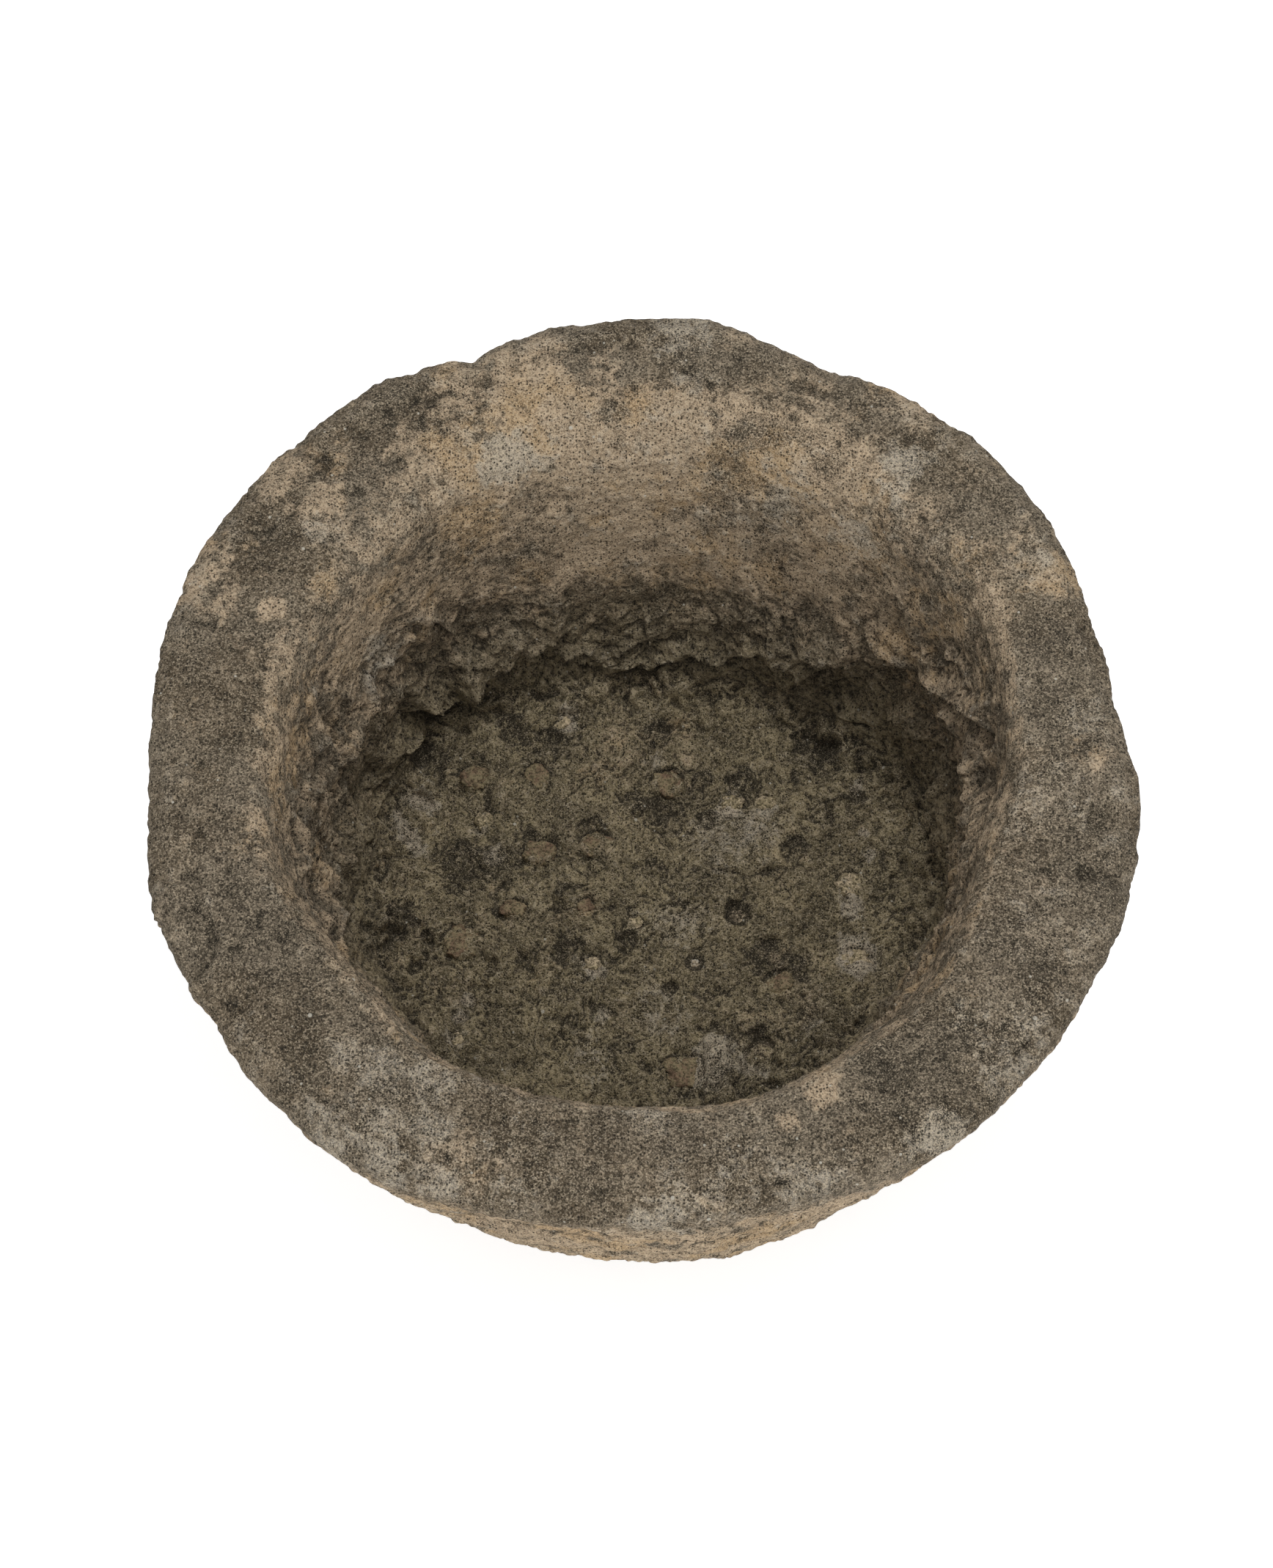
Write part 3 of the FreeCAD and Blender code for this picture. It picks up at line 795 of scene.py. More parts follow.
TAN = [
    (-247, 116, 262, 22, .9), (-185, 157, 265, 17, .9), (-200, 190, 265, 26, .6),
    (-130, 207, 265, 15, .8), (-112, 238, 265, 22, .8), (-60, 243, 265, 32, .7), (60, 275, 262, 14, .5),
    (98, 217, 265, 38, .45), (150, 235, 262, 26, .5), (-210, 92, 265, 8, .9), (225, 115, 262, 22, .5),
    (90, -200, 265, 10, .9), (75, -214, 265, 8, .8), (37, -260, 262, 10, .7), (-95, -233, 265, 18, .5),
    (250, 0, 262, 10, .5), (-170, 110, 215, 26, .7), (-188, 30, 225, 14, .6), (-186, -20, 225, 12, .5),
    (-180, -80, 235, 12, .5),
]

# Patches of the floor as (x, y, radius, strength), in millimetres: dark spots, many of them over the hollows
# and pits; rubbed pale; and rusty.
BLACK_SPOTS = [
    (-104, 23, 17, 1.0), (-89, 25, 11, .9), (-86, -2, 8, .9), (8, 62, 16, 1.0), (-5, 67, 9, .9),
    (-43, -32, 11, .8), (-8, -24, 8, .9), (-11, -43, 8, .9), (-96, 69, 9, .7), (-63, 86, 8, .6),
    (-33, 86, 10, .6), (-57, 111, 9, .7), (-79, 120, 9, .7), (-31, 55, 9, .6), (13, 25, 7, .6),
    (-46, 5, 10, .6), (-143, -9, 12, .6), (-135, 98, 15, .9), (-64, -32, 12, .6), (-61, -61, 12, .6),
    (-25, -66, 10, .6), (-45, -82, 12, .5), (-10, -93, 12, .5), (39, 59, 9, .8), (94, 40, 9, .8),
    (73, -33, 11, .9), (90, -37, 9, .9), (69, -91, 9, .8), (118, 100, 11, .8), (60, 81, 10, .8),
    (101, 113, 8, .7), (37, 86, 7, .8), (112, 61, 9, .6), (9, 118, 8, .7), (44, 22, 6, .6),
    (82, 23, 7, .6), (139, -61, 8, .7), (101, -69, 9, .4), (52, -122, 22, .8),
]
RUBBED = [
    (-151, 54, 9, 1.0), (-142, 42, 10, 1.0), (-137, 74, 11, .9), (-48, 125, 8, .9), (-99, 52, 7, .8),
    (-30, -41, 8, 1.0), (-112, -90, 8, .9), (-108, -72, 5, 1.0), (-105, -60, 4, 1.0), (-23, -72, 6, .7),
    (-90, 35, 7, .8), (56, 68, 9, 1.0), (78, 67, 8, .9), (126, 10, 7, .8), (129, 0, 7, .8),
    (132, -37, 13, 1.0), (42, -106, 14, .8), (66, -106, 12, .8), (133, 79, 4, 1.0), (136, 49, 4, 1.0),
    (148, 48, 3, 1.0), (139, 32, 5, 1.0), (104, -80, 8, .6), (9, 100, 8, .5), (60, 45, 22, .4),
    (20, -12, 18, .4), (5, -68, 18, .4), (-30, -100, 20, .3),
]
RUSTY = [
    (-140, -28, 20, .8), (-113, -22, 14, .8), (-145, -40, 16, .6), (-105, 88, 13, .8),
    (-115, -48, 18, .8), (65, -80, 26, .9), (81, -38, 13, .8), (105, 6, 12, .6), (89, -69, 18, .7),
    (50, -77, 14, .6), (-63, 37, 12, .8), (-30, 42, 12, .8), (-33, 86, 12, .6), (-79, -3, 9, .8),
    (-35, -2, 8, .8), (-15, 110, 20, .5), (30, 118, 18, .5),
]


def patch_sum(points, patches, seed):
    """How much of a list of patches lies over each point, with ragged edges."""
    ragged = 0.6 * fractal(points, 26 * MM, 4, seed, 0.7)
    total = np.zeros(len(points))
    for x, y, z, radius, strength in patches:
        away = points - np.array([x * MM, y * MM, z * MM])
        gap = np.sqrt((away ** 2).sum(axis=1)) / (radius * MM)
        total = np.maximum(total, strength * ramp(gap + ragged, 1.5, 0.2))
    return total


def floor_patches(lay, patches):
    """Floor patches at the floor's own height."""
    level = lay.floor_z / MM
    return [(x, y, level, radius, strength) for x, y, radius, strength in patches]


def standing_out(points, normals, faces, passes):
    """How far each point stands out of its surroundings; the more passes, the wider they are."""
    ends = np.concatenate([part.ravel() for part in faces])
    others = np.concatenate([np.roll(part, -1, axis=1).ravel() for part in faces])
    counts = np.bincount(ends, minlength=len(points)) + np.bincount(others, minlength=len(points))
    around = points.copy()
    for _ in range(passes):
        for axis in range(3):
            values = around[:, axis]
            total = np.bincount(ends, values[others], len(points))
            around[:, axis] = (total + np.bincount(others, values[ends], len(points))) / counts
    return ((points - around) * normals).sum(axis=1)


SLOPE_ANGLE, SLOPE_SPREAD = 86, 50           # degrees, of the worn slope at the back of the bowl
SLOPE_FOOT, SLOPE_FULL = 62 * MM, 112 * MM
WORN_ANGLE, WORN_SPREAD = 165, 70            # degrees, of the stretch where the mouth is most worn


def dark_crust_and_shade(lay, slope, mottle, fine, rusty, proud, crease):
    """Crusts and soot in their patches and thinly on the slope, with painted shade in hollows, creases and
    under ledges.
    """
    patches = patch_sum(lay.points, DARK, 511)
    dark = patches + patch_sum(lay.points, floor_patches(lay, BLACK_SPOTS), 512)
    dark += 0.3 * ramp(mottle, -0.05, 0.7) + 0.25 * ramp(fine, 0.15, 0.8)
    dark = np.maximum(dark * (1 - 0.45 * slope), 0.3 * rusty)
    # Painted shade in the mesh's hollows, under ledges, behind lumps and on pit walls.
    dark = 0.7 * dark + 0.6 * ramp(proud, -0.1 * MM, -1.0 * MM) + 1.1 * shaded_and_soiled(lay)
    # Painted shade in the mesh's creases, and a little less dark share on its sharp crests.
    sharp = 0.7 * ramp(crease, -0.04 * MM, -0.4 * MM) - 0.2 * ramp(crease, 0.05 * MM, 0.3 * MM)
    dark += np.where(lay.stretch == WALL, 0.5, 0.25) * sharp
    dark *= 1 - 0.65 * slope * ramp(patches, 0.7, 0.2)
    return dark + 0.6 * slope * ramp(mottle + 0.4 * fine, 0.1, 0.65)


def tan_stone(lay, slope, mottle, fine, rusty, rubbed):
    """Clean, worn stone: on the slope, round the mouth, on the outside and where the floor is rubbed."""
    height = lay.above_floor
    wall, rim, side = [lay.stretch == stretch for stretch in (WALL, RIM, SIDE)]
    tan = patch_sum(lay.points, TAN, 521) + 0.34 * rusty + slope * (1.0 + 0.5 * fine)
    tan += 0.2 * ramp(-mottle, 0.1, 0.7)
    mouth = wall * ramp(height, 168 * MM, 190 * MM) + rim * ramp(lay.along, 0.22, 0.0)
    worn = 0.35 + 0.65 * np.exp(-((angle_gap(lay.angles, WORN_ANGLE) / WORN_SPREAD) ** 2))
    tan = np.maximum(tan, 0.42 * mouth * worn * (1 + fine))
    tan = np.maximum(tan, wall * 0.42 * ramp(height, 20 * MM, 110 * MM) * (1 + fine))
    outside = side * ramp(lay.points[:, 2] + 9 * MM * fine, TOP - 5 * MM, TOP - 30 * MM)
    tan = np.maximum(tan, outside * (0.8 + 0.5 * fine))
    return np.maximum(tan, 0.75 * ramp(rubbed, 0.5, 1.0))


def weathering_and_shade(lay, proud, crease):
    """Four shares for each vertex: dark crust with painted shade, tan stone, pale bloom, olive silt."""
    points, height = lay.points, lay.above_floor
    wall, rim = lay.stretch == WALL, lay.stretch == RIM
    back = np.exp(-((angle_gap(lay.angles, SLOPE_ANGLE) / SLOPE_SPREAD) ** 2))
    slope = wall * back * ramp(height, SLOPE_FOOT, SLOPE_FULL)
    slope = np.maximum(slope, rim * back * ramp(lay.along, 0.45, 0.0))
    mottle = fractal(points, 46 * MM, 4, 501, 0.6)
    fine = fractal(points, 15 * MM, 3, 503, 0.65)
    rusty = patch_sum(points, floor_patches(lay, RUSTY), 523)
    rubbed = patch_sum(points, floor_patches(lay, RUBBED), 532)
    dark = dark_crust_and_shade(lay, slope, mottle, fine, rusty, proud, crease)
    tan = tan_stone(lay, slope, mottle, fine, rusty, rubbed)
    bloom = patch_sum(points, PALE_BLOOM, 531) + 1.2 * rubbed
    bloom += 0.2 * ramp(fine, -0.15, -0.8)
    bloom += 0.3 * wall * back * ramp(height, 60 * MM, 110 * MM)
    bloom += 0.3 * ramp(proud, 0.1 * MM, 1.1 * MM)
    silt = np.where(lay.stretch == FLOOR, 1.0, 0.8 * wall * ramp(height, 110 * MM, 0))
    return np.clip(np.stack([dark, tan, bloom, silt], axis=1), 0, 1)


def pick_marked(lay):
    """How far the pick's scaly marks take the place of the stone's grain: 1 on the broken wall."""
    height = lay.above_floor
    top = round_table(lay.angles, CRAG_TOP) * MM + 16 * MM * noise(lay.points, 40 * MM, 40)
    wall = 0.35 + 0.65 * ramp(height, top + 30 * MM, top - 20 * MM)
    wall *= ramp(height, 200 * MM, LIP_FOOT) * ramp(lay.level, 4 * MM, 16 * MM)
    return np.where(lay.stretch == WALL, wall, np.where(lay.stretch == SIDE, 0.4, 0))


# ---- Mesh helpers ----

def make_object(name, points, polygons, material, node):
    """A smooth-shaded mesh object that rides on the one body and stands for a CAD node."""
    mesh = bpy.data.meshes.new(name)
    mesh.from_pydata(points.tolist(), [], polygons)
    mesh.shade_smooth()
    mesh.materials.append(material)
    piece = bpy.data.objects.new(name, mesh)
    bpy.context.scene.collection.objects.link(piece)
    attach(piece, "root")
    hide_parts(node)
    return piece


MAP_HALF_WIDTH = 0.495                       # of both parts of the bake map
INSIDE_MIDDLE, INSIDE_HALF = 0.325, 0.32     # the lower part: its middle and half its height
OUTSIDE_MIDDLE, OUTSIDE_HALF = 0.825, 0.17   # the upper part


def polar_uv(lay, mesh):
    """A bake map: the bowl and rim fill the lower part of the square, the outside and base the upper."""
    walked = np.cumsum(np.linalg.norm(np.diff(lay.points[lay.rings][:, 0], axis=0), axis=1))
    walked = np.concatenate([[0], walked])
    split = int(np.argmax(lay.ring_stretch == SIDE))
    foot = float(lay.radius[0].mean())
    inner_total = foot + walked[split]
    outer_total = walked[-1] - walked[split] + float(lay.radius[-1].mean())
    angle = np.arctan2(lay.points[:, 1], lay.points[:, 0])
    share = np.zeros((2, len(lay.points)))
    share[0, :lay.net_size] = lay.along[:lay.net_size] * foot / inner_total
    for ring, members in enumerate(lay.rings[1:], start=1):
        share[0, members] = (foot + walked[ring]) / inner_total
        share[1, members] = (inner_total + outer_total - foot - walked[ring]) / outer_total
    share[1, -1] = 0
    corner = np.zeros(len(mesh.loops), np.int32)
    mesh.loops.foreach_get("vertex_index", corner)
    starts = np.zeros(len(mesh.polygons), np.int32)
    totals = np.zeros(len(mesh.polygons), np.int32)
    mesh.polygons.foreach_get("loop_start", starts)
    mesh.polygons.foreach_get("loop_total", totals)
    first_ring = np.full(len(lay.points), -1)
    first_ring[lay.rings] = np.arange(lay.rows)[:, None]
    first_ring[-1] = lay.rows
    highest = np.maximum.reduceat(first_ring[corner], starts)
    outside = np.repeat(highest > split, totals)
    reach = share[outside.astype(int), corner]
    turn = angle[corner] / (math.pi / 4)
    side = np.floor((turn + 1) / 2) * 2
    slide = (turn - side) * reach
    quarter = (side / 2).astype(int) % 4
    a = np.choose(quarter, [reach, -slide, -reach, slide])
    b = np.choose(quarter, [slide, reach, -slide, -reach])
    a, b = np.where(outside, -a, a), b
    u = 0.5 + MAP_HALF_WIDTH * a
    v = np.where(outside, OUTSIDE_MIDDLE + OUTSIDE_HALF * b, INSIDE_MIDDLE + INSIDE_HALF * b)
    layer = mesh.uv_layers.new(name="OFBake")
    layer.data.foreach_set("uv", np.stack([u, v], axis=1).astype(np.float32).ravel())


# ---- Materials ----

DULL, FAINT_SHEEN = 0.92, 0.25       # roughness and specular level of all the stone
MIX_A, MIX_B, MIX_RESULT = 6, 7, 2   # the colour sockets of a mix node


def shaded(colour, share):
    """A colour made darker or lighter by one share."""
    return [channel * share for channel in colour]


class Nodes:
    """Short ways to add and join the shader nodes of a material or a world."""

    def __init__(self, owner):
        self.owner = owner
        owner.use_nodes = True
        self.tree = owner.node_tree
        self.tree.nodes.clear()
        self.coords = self.add("ShaderNodeTexCoord").outputs["Object"]

    def add(self, kind, **inputs):
        """A node of this kind, with its inputs joined or set."""
        node = self.tree.nodes.new(kind)
        for key, value in inputs.items():
            self.feed(node.inputs[key.replace("_", " ")], value)
        return node

    def attribute(self, name):
        """The outputs of a mesh attribute."""
        node = self.tree.nodes.new("ShaderNodeAttribute")
        node.attribute_name = name
        return node.outputs

    def feed(self, socket, value):
        """Join an output to the socket, or set the socket to a constant."""
        if isinstance(value, bpy.types.NodeSocket):
            self.tree.links.new(value, socket)
        else:
            socket.default_value = value

    def moved(self, seed):
        """The object's coordinates, slid so that each seed gives a pattern of its own."""
        place = (seed, seed * 0.7, seed * 0.3)
        return self.add("ShaderNodeMapping", Vector=self.coords, Location=place).outputs[0]

    def noise(self, size, detail, roughness, seed):
        """Noise whose bumps are `size` metres apart, from 0 to 1."""
        node = self.add("ShaderNodeTexNoise", Vector=self.moved(seed), Scale=1 / size, Detail=detail,
                        Roughness=roughness)
        return node.outputs["Fac"]

    def grains(self, size, seed):
        """Separate grains: a random value for each, and the distance from its middle."""
        node = self.add("ShaderNodeTexVoronoi", Vector=self.moved(seed), Scale=1 / size)
        split = self.add("ShaderNodeSeparateColor", Color=node.outputs["Color"])
        return split.outputs["Red"], node.outputs["Distance"]

    def math(self, operation, a, b, clamp=False):
        node = self.tree.nodes.new("ShaderNodeMath")
        node.operation = operation
        node.use_clamp = clamp
        self.feed(node.inputs[0], a)
        self.feed(node.inputs[1], b)
        return node.outputs[0]

    def times(self, a, b):
        return self.math("MULTIPLY", a, b)

    def plus(self, a, b):
        return self.math("ADD", a, b)

    def minus(self, a, b):
        return self.math("SUBTRACT", a, b)

    def step(self, value, low, high):
        """0 below low, 1 above high, smooth between."""
        node = self.tree.nodes.new("ShaderNodeMapRange")
        node.interpolation_type = "SMOOTHSTEP"
        self.feed(node.inputs["Value"], value)
        node.inputs["From Min"].default_value = low
        node.inputs["From Max"].default_value = high
        return node.outputs["Result"]

    def mix(self, share, a, b):
        """Colour a, turning into colour b as the share grows."""
        node = self.tree.nodes.new("ShaderNodeMix")
        node.data_type = "RGBA"
        self.feed(node.inputs[0], share)
        for socket, value in ((MIX_A, a), (MIX_B, b)):
            value = value if isinstance(value, bpy.types.NodeSocket) else (*value, 1.0)
            self.feed(node.inputs[socket], value)
        return node.outputs[MIX_RESULT]

    def finish(self, colour, height, depth):
        """The material, in a dull stone shader with the height as its bump."""
        bump = self.add("ShaderNodeBump", Height=height, Distance=depth, Strength=1.0)
        shader = self.add("ShaderNodeBsdfPrincipled", Roughness=DULL, Normal=bump.outputs[0])
        self.feed(shader.inputs["Base Color"], colour)
        shader.inputs["Specular IOR Level"].default_value = FAINT_SHEEN
        self.add("ShaderNodeOutputMaterial", Surface=shader.outputs[0])
        return self.owner


class Grain:
    """The fine patterns that the stone's colour and its bump share."""

    def __init__(self, n):
        self.mid = n.noise(9 * MM, 4.0, 0.66, 1.3)
        self.dust, self.grit = n.noise(2.6 * MM, 3.0, 0.75, 0.6), n.noise(0.8 * MM, 2.0, 0.6, 0.0)
        self.fine, self.finest = n.grains(0.95 * MM, 3.4)[0], n.grains(0.5 * MM, 4.4)[0]
        tone, middle = n.grains(1.7 * MM, 0.4)
        self.hole = n.times(n.step(tone, 0.6, 0.66), n.step(middle, 0.4, 0.3))
        flat = n.add("ShaderNodeMapping", Vector=n.coords, Scale=(1.0, 1.0, 1.9)).outputs[0]
        scales = n.add("ShaderNodeTexNoise", Vector=flat, Scale=1 / (3.0 * MM), Detail=2.0, Roughness=0.6)
        self.scale = scales.outputs["Fac"]
        self.picked = n.attribute("picked")["Fac"]
        # The pick marks' creases: cut into the bump, and given painted shade in the colour.
        self.creased = n.times(n.step(self.scale, 0.4, 0.33), self.picked)


def weathered_and_shaded(n, colours, grain, dark, tan, bloom, silt):
    """The stone's colour before its grains: body, silt, clean tan stone, bloom, dark crust and painted
    shade.
    """
    ragged = n.minus(n.plus(n.times(grain.dust, 1.3), n.times(grain.mid, 1.1)), 1.2)

    def spread(share, low, high, most):
        """A share whose edge is broken up by the grain, up to `most`."""
        return n.times(n.step(n.plus(share, ragged), low, high), most)

    broad, wide = n.noise(30 * MM, 4.0, 0.62, 2.1), n.noise(75 * MM, 3.0, 0.6, 7.3)
    mottle = n.plus(n.times(broad, 0.5), n.times(grain.mid, 0.5))
    stone = n.mix(n.step(wide, 0.42, 0.58), colours.umber, colours.body)
    dull, bright = n.mix(0.4, stone, colours.lichen), n.mix(0.16, stone, colours.light)
    base = n.mix(n.step(mottle, 0.38, 0.62), dull, bright)
    silted = n.mix(n.step(mottle, 0.4, 0.6), shaded(colours.floor, 0.62), shaded(colours.floor, 1.3))
    base = n.mix(n.times(silt, 0.9), base, silted)
    clean = n.mix(n.step(grain.mid, 0.35, 0.65), shaded(colours.tan, 0.8), shaded(colours.tan, 1.12))
    ochre = [c * share for c, share in zip(colours.tan, (1.0, 0.86, 0.6))]
    clean = n.mix(n.times(n.step(n.noise(42 * MM, 3.0, 0.6, 9.1), 0.5, 0.64), 0.5), clean, ochre)
    base = n.mix(spread(tan, 0.15, 0.8, 0.9), base, clean)
    base = n.mix(spread(bloom, 0.3, 1.1, 0.72), base, colours.bloom)
    # The dark share carries painted shade too, so this lays it into hollows, creases and under ledges with
    # the crusts.
    base = n.mix(spread(dark, 0.25, 1.05, 0.62), base, colours.lichen)
    # Painted shade, darker still, where the dark share is full: under ledges, behind lumps and on pit walls.
    return n.mix(n.times(n.step(dark, 0.85, 1.0), 0.5), base, colours.shade)


def grained(n, colours, grain, base, dark, bloom):
    """The colour with its light and dark grains, pores, holes, pick marks, painted shade in the pick marks'
    creases and white flecks.
    """

    def speckle(pattern, share, low, high, most):
        """Separate grains that crowd together as the share grows."""
        return n.times(n.step(n.plus(pattern, n.times(share, 0.2)), low, high), most)

    calm = n.minus(1.0, n.times(grain.picked, 0.4))
    sparkle = n.plus(n.times(grain.fine, 0.62), n.times(grain.finest, 0.38))
    lit = n.times(n.step(sparkle, 0.52, 0.8), 0.4)
    lit = n.times(n.plus(lit, speckle(grain.grit, bloom, 0.64, 0.7, 0.45)), calm)
    base = n.mix(lit, base, colours.light)
    dimmed = n.times(n.times(n.step(sparkle, 0.47, 0.2), 0.6), calm)
    base = n.mix(dimmed, base, colours.shade)
    pores = speckle(n.minus(1.0, grain.grit), dark, 0.62, 0.68, 0.6)
    base = n.mix(n.times(pores, calm), base, colours.shade)
    base = n.mix(n.times(grain.hole, 0.8), base, colours.shade)
    ridge = n.times(n.times(n.step(grain.scale, 0.54, 0.68), grain.picked), 0.15)
    base = n.mix(ridge, base, colours.light)
    # Painted shade in the creases of the pick marks.
    base = n.mix(n.times(grain.creased, 0.42), base, colours.shade)
    for size, seed, rare, wide in ((6 * MM, 5.2, 0.9, 0.15), (19 * MM, 6.1, 0.8, 0.075)):
        pick, away = n.grains(size, seed)
        fleck = n.times(n.step(pick, rare, rare + 0.01), n.step(away, wide, wide * 0.6))
        base = n.mix(n.times(fleck, 0.85), base, colours.fleck)
    return base


def stone_material(colours):
    """Granular volcanic stone, with crusts, clean tan stone, bloom, silt and painted shade where the vertex
    shares say.
    """
    n = Nodes(bpy.data.materials.new(SKIN))
    marks = n.attribute("weathering_and_shade")
    split = n.add("ShaderNodeSeparateColor", Color=marks["Color"])
    dark, tan, bloom, silt = split.outputs[0], split.outputs[1], split.outputs[2], marks["Alpha"]
    grain = Grain(n)
    base = weathered_and_shaded(n, colours, grain, dark, tan, bloom, silt)
    base = grained(n, colours, grain, base, dark, bloom)
    height = n.plus(n.times(grain.grit, 0.4), n.times(grain.dust, 0.8))
    height = n.minus(height, n.times(n.plus(grain.hole, grain.creased), 0.35))
    height = n.plus(height, n.times(grain.fine, 0.12))
    height = n.plus(height, n.times(n.times(grain.scale, grain.picked), 0.35))
    return n.finish(base, height, 2.4 * MM)


def rock_material(name, main, dull, seed):
    """A bared lump of other rock: its own colour, dulled and speckled by the silt of the floor."""
    n = Nodes(bpy.data.materials.new(name))
    grit, soil = n.noise(1.5 * MM, 2.0, 0.7, seed), n.noise(7 * MM, 4.0, 0.7, seed + 1.7)
    tone = n.grains(1.15 * MM, seed + 0.9)[0]
    base = n.mix(n.step(soil, 0.36, 0.58), main, dull)
    base = n.mix(n.times(n.step(tone, 0.5, 1.0), 0.45), base, [min(1.0, c * 1.9) for c in main])
    base = n.mix(n.times(n.step(tone, 0.5, 0.0), 0.65), base, shaded(dull, 0.2))
    base = n.mix(n.times(n.step(grit, 0.44, 0.38), 0.8), base, shaded(dull, 0.16))
    height = n.plus(grit, n.times(soil, 0.5))
    return n.finish(base, height, 0.9 * MM)


# ---- Pieces, with an operator for each piece or group of like pieces ----

CAD_MARGIN = 0.1 * MM        # how far the finished block stays inside its CAD box
CREASE_PASSES, NARROW_PASSES, WIDE_PASSES = 2, 6, 45


class MORTAR_OT_block(bpy.types.Operator):
    """Carve the block with its rim, bowl, ledges, pits, weather marks and painted shade"""

    bl_idname = "mortar.block"
    bl_label = "Stone block"

    def execute(self, context):
        sizes = context.scene.mortar_relief
        lay = Layout(sizes.columns)
        moves = relief(lay, sizes)
        normals = lay.normals()
        points = lay.points + normals * moves[:, None]
        points[:, 2] -= crown_drop(lay, sizes)
        low, high = np.array(CAD_LOW) + CAD_MARGIN, np.array(CAD_HIGH) - CAD_MARGIN
        low[2] = 0.0
        points = np.clip(points, low, high)
        faces = lay.faces()
        proud = standing_out(points, normals, faces, NARROW_PASSES)
        proud += 0.5 * standing_out(points, normals, faces, WIDE_PASSES)
        crease = standing_out(points, normals, faces, CREASE_PASSES)
        marks = weathering_and_shade(lay, proud, crease)
        faces = [face for part in faces for face in part.tolist()]
        material = stone_material(context.scene.mortar_colours)
        piece = make_object("mortar_block", points, faces, material, BLOCK)
        attribute = piece.data.color_attributes.new("weathering_and_shade", "FLOAT_COLOR", "POINT")
        attribute.data.foreach_set("color", marks.astype(np.float32).ravel())
        picked = piece.data.attributes.new("picked", "FLOAT", "POINT")
        picked.data.foreach_set("value", pick_marked(lay).astype(np.float32))
        polar_uv(lay, piece.data)
        return {"FINISHED"}


LUMP_DETAIL = 4              # subdivisions of a lump's ball
LUMP_ROUGHNESS = 0.3
LUMP_CUT, LUMP_LEFT = 0.5, 0.3       # height of a lump's worn top, and the share left of what was above it
LUMP_BEDDED = 0.6            # how far a lump's middle lies below its top, in half heights
LUMP_WIDER = (1.05, 1.05, 1.0)


def rocky_ball(middle, half, seed):
    """A worn, lumpy ball with a flattened top: points and faces."""
    bm = bmesh.new()
    bmesh.ops.create_icosphere(bm, subdivisions=LUMP_DETAIL, radius=1.0)
    points = np.array([v.co for v in bm.verts])
    faces = [[v.index for v in f.verts] for f in bm.faces]
    bm.free()
    swell = fractal(points + seed, 0.9, 4, seed, 0.6) + 0.3 * noise(points + seed, 0.2, seed + 3)
    points = points * (1 + LUMP_ROUGHNESS * swell)[:, None]
    above = points[:, 2] - LUMP_CUT
    points[:, 2] = np.where(above > 0, LUMP_CUT + LUMP_LEFT * above, points[:, 2])
    return points * half + middle, faces


def clast_group(name, node, material, proud, seed):
    """All lumps of one kind of rock as one object, each bedded at the finished floor."""
    points, faces = [], []
    start = 0
    block = bpy.data.objects["mortar_block"]
    tree = BVHTree.FromObject(block, bpy.context.evaluated_depsgraph_get())
    for number, (middle, half) in enumerate(lumps_of(node)):
        ground = tree.ray_cast(Vector((middle[0], middle[1], TOP + FAR)), Vector((0, 0, -1)))[0].z
        place = np.array([middle[0], middle[1], ground + proud - LUMP_BEDDED * half[2]])
        part, part_faces = rocky_ball(place, half * LUMP_WIDER, seed + number)
        points.append(part)
        faces += [[corner + start for corner in face] for face in part_faces]
        start += len(part)
    return make_object(name, np.concatenate(points), faces, material, node)


class MORTAR_OT_red_clasts(bpy.types.Operator):
    """Bed the reddish-brown lumps in the floor"""

    bl_idname = "mortar.red_clasts"
    bl_label = "Red clasts"

    def execute(self, context):
        colours = context.scene.mortar_colours
        material = rock_material("mortar_red_rock", colours.red, colours.floor, 0.0)
        clast_group("mortar_red_clasts", RED, material, 0.8 * MM, 700)
        return {"FINISHED"}


class MORTAR_OT_pale_clasts(bpy.types.Operator):
    """Bed the cream lumps in the floor"""

    bl_idname = "mortar.pale_clasts"
    bl_label = "Pale clasts"

    def execute(self, context):
        colours = context.scene.mortar_colours
        material = rock_material("mortar_pale_rock", colours.cream, colours.floor, 4.0)
        clast_group("mortar_pale_clasts", PALE, material, 0.5 * MM, 800)
        return {"FINISHED"}


class MORTAR_OT_grit(bpy.types.Operator):
    """Lay the coarse grains in the round pit"""

    bl_idname = "mortar.grit"
    bl_label = "Pit grit"

    def execute(self, context):
        colours = context.scene.mortar_colours
        material = rock_material("mortar_grit", colours.cream, colours.body, 7.0)
        clast_group("mortar_grit", GRIT, material, 0.8 * MM, 900)
        return {"FINISHED"}


class MORTAR_OT_pebble(bpy.types.Operator):
    """Wedge the pale pebble in its pit"""

    bl_idname = "mortar.pebble"
    bl_label = "Pale pebble"

    def execute(self, context):
        colours = context.scene.mortar_colours
        material = rock_material("mortar_white_rock", colours.white, colours.cream, 9.0)
        clast_group("mortar_pebble", PEBBLE, material, 1.8 * MM, 950)
        return {"FINISHED"}


# ---- Stage ----

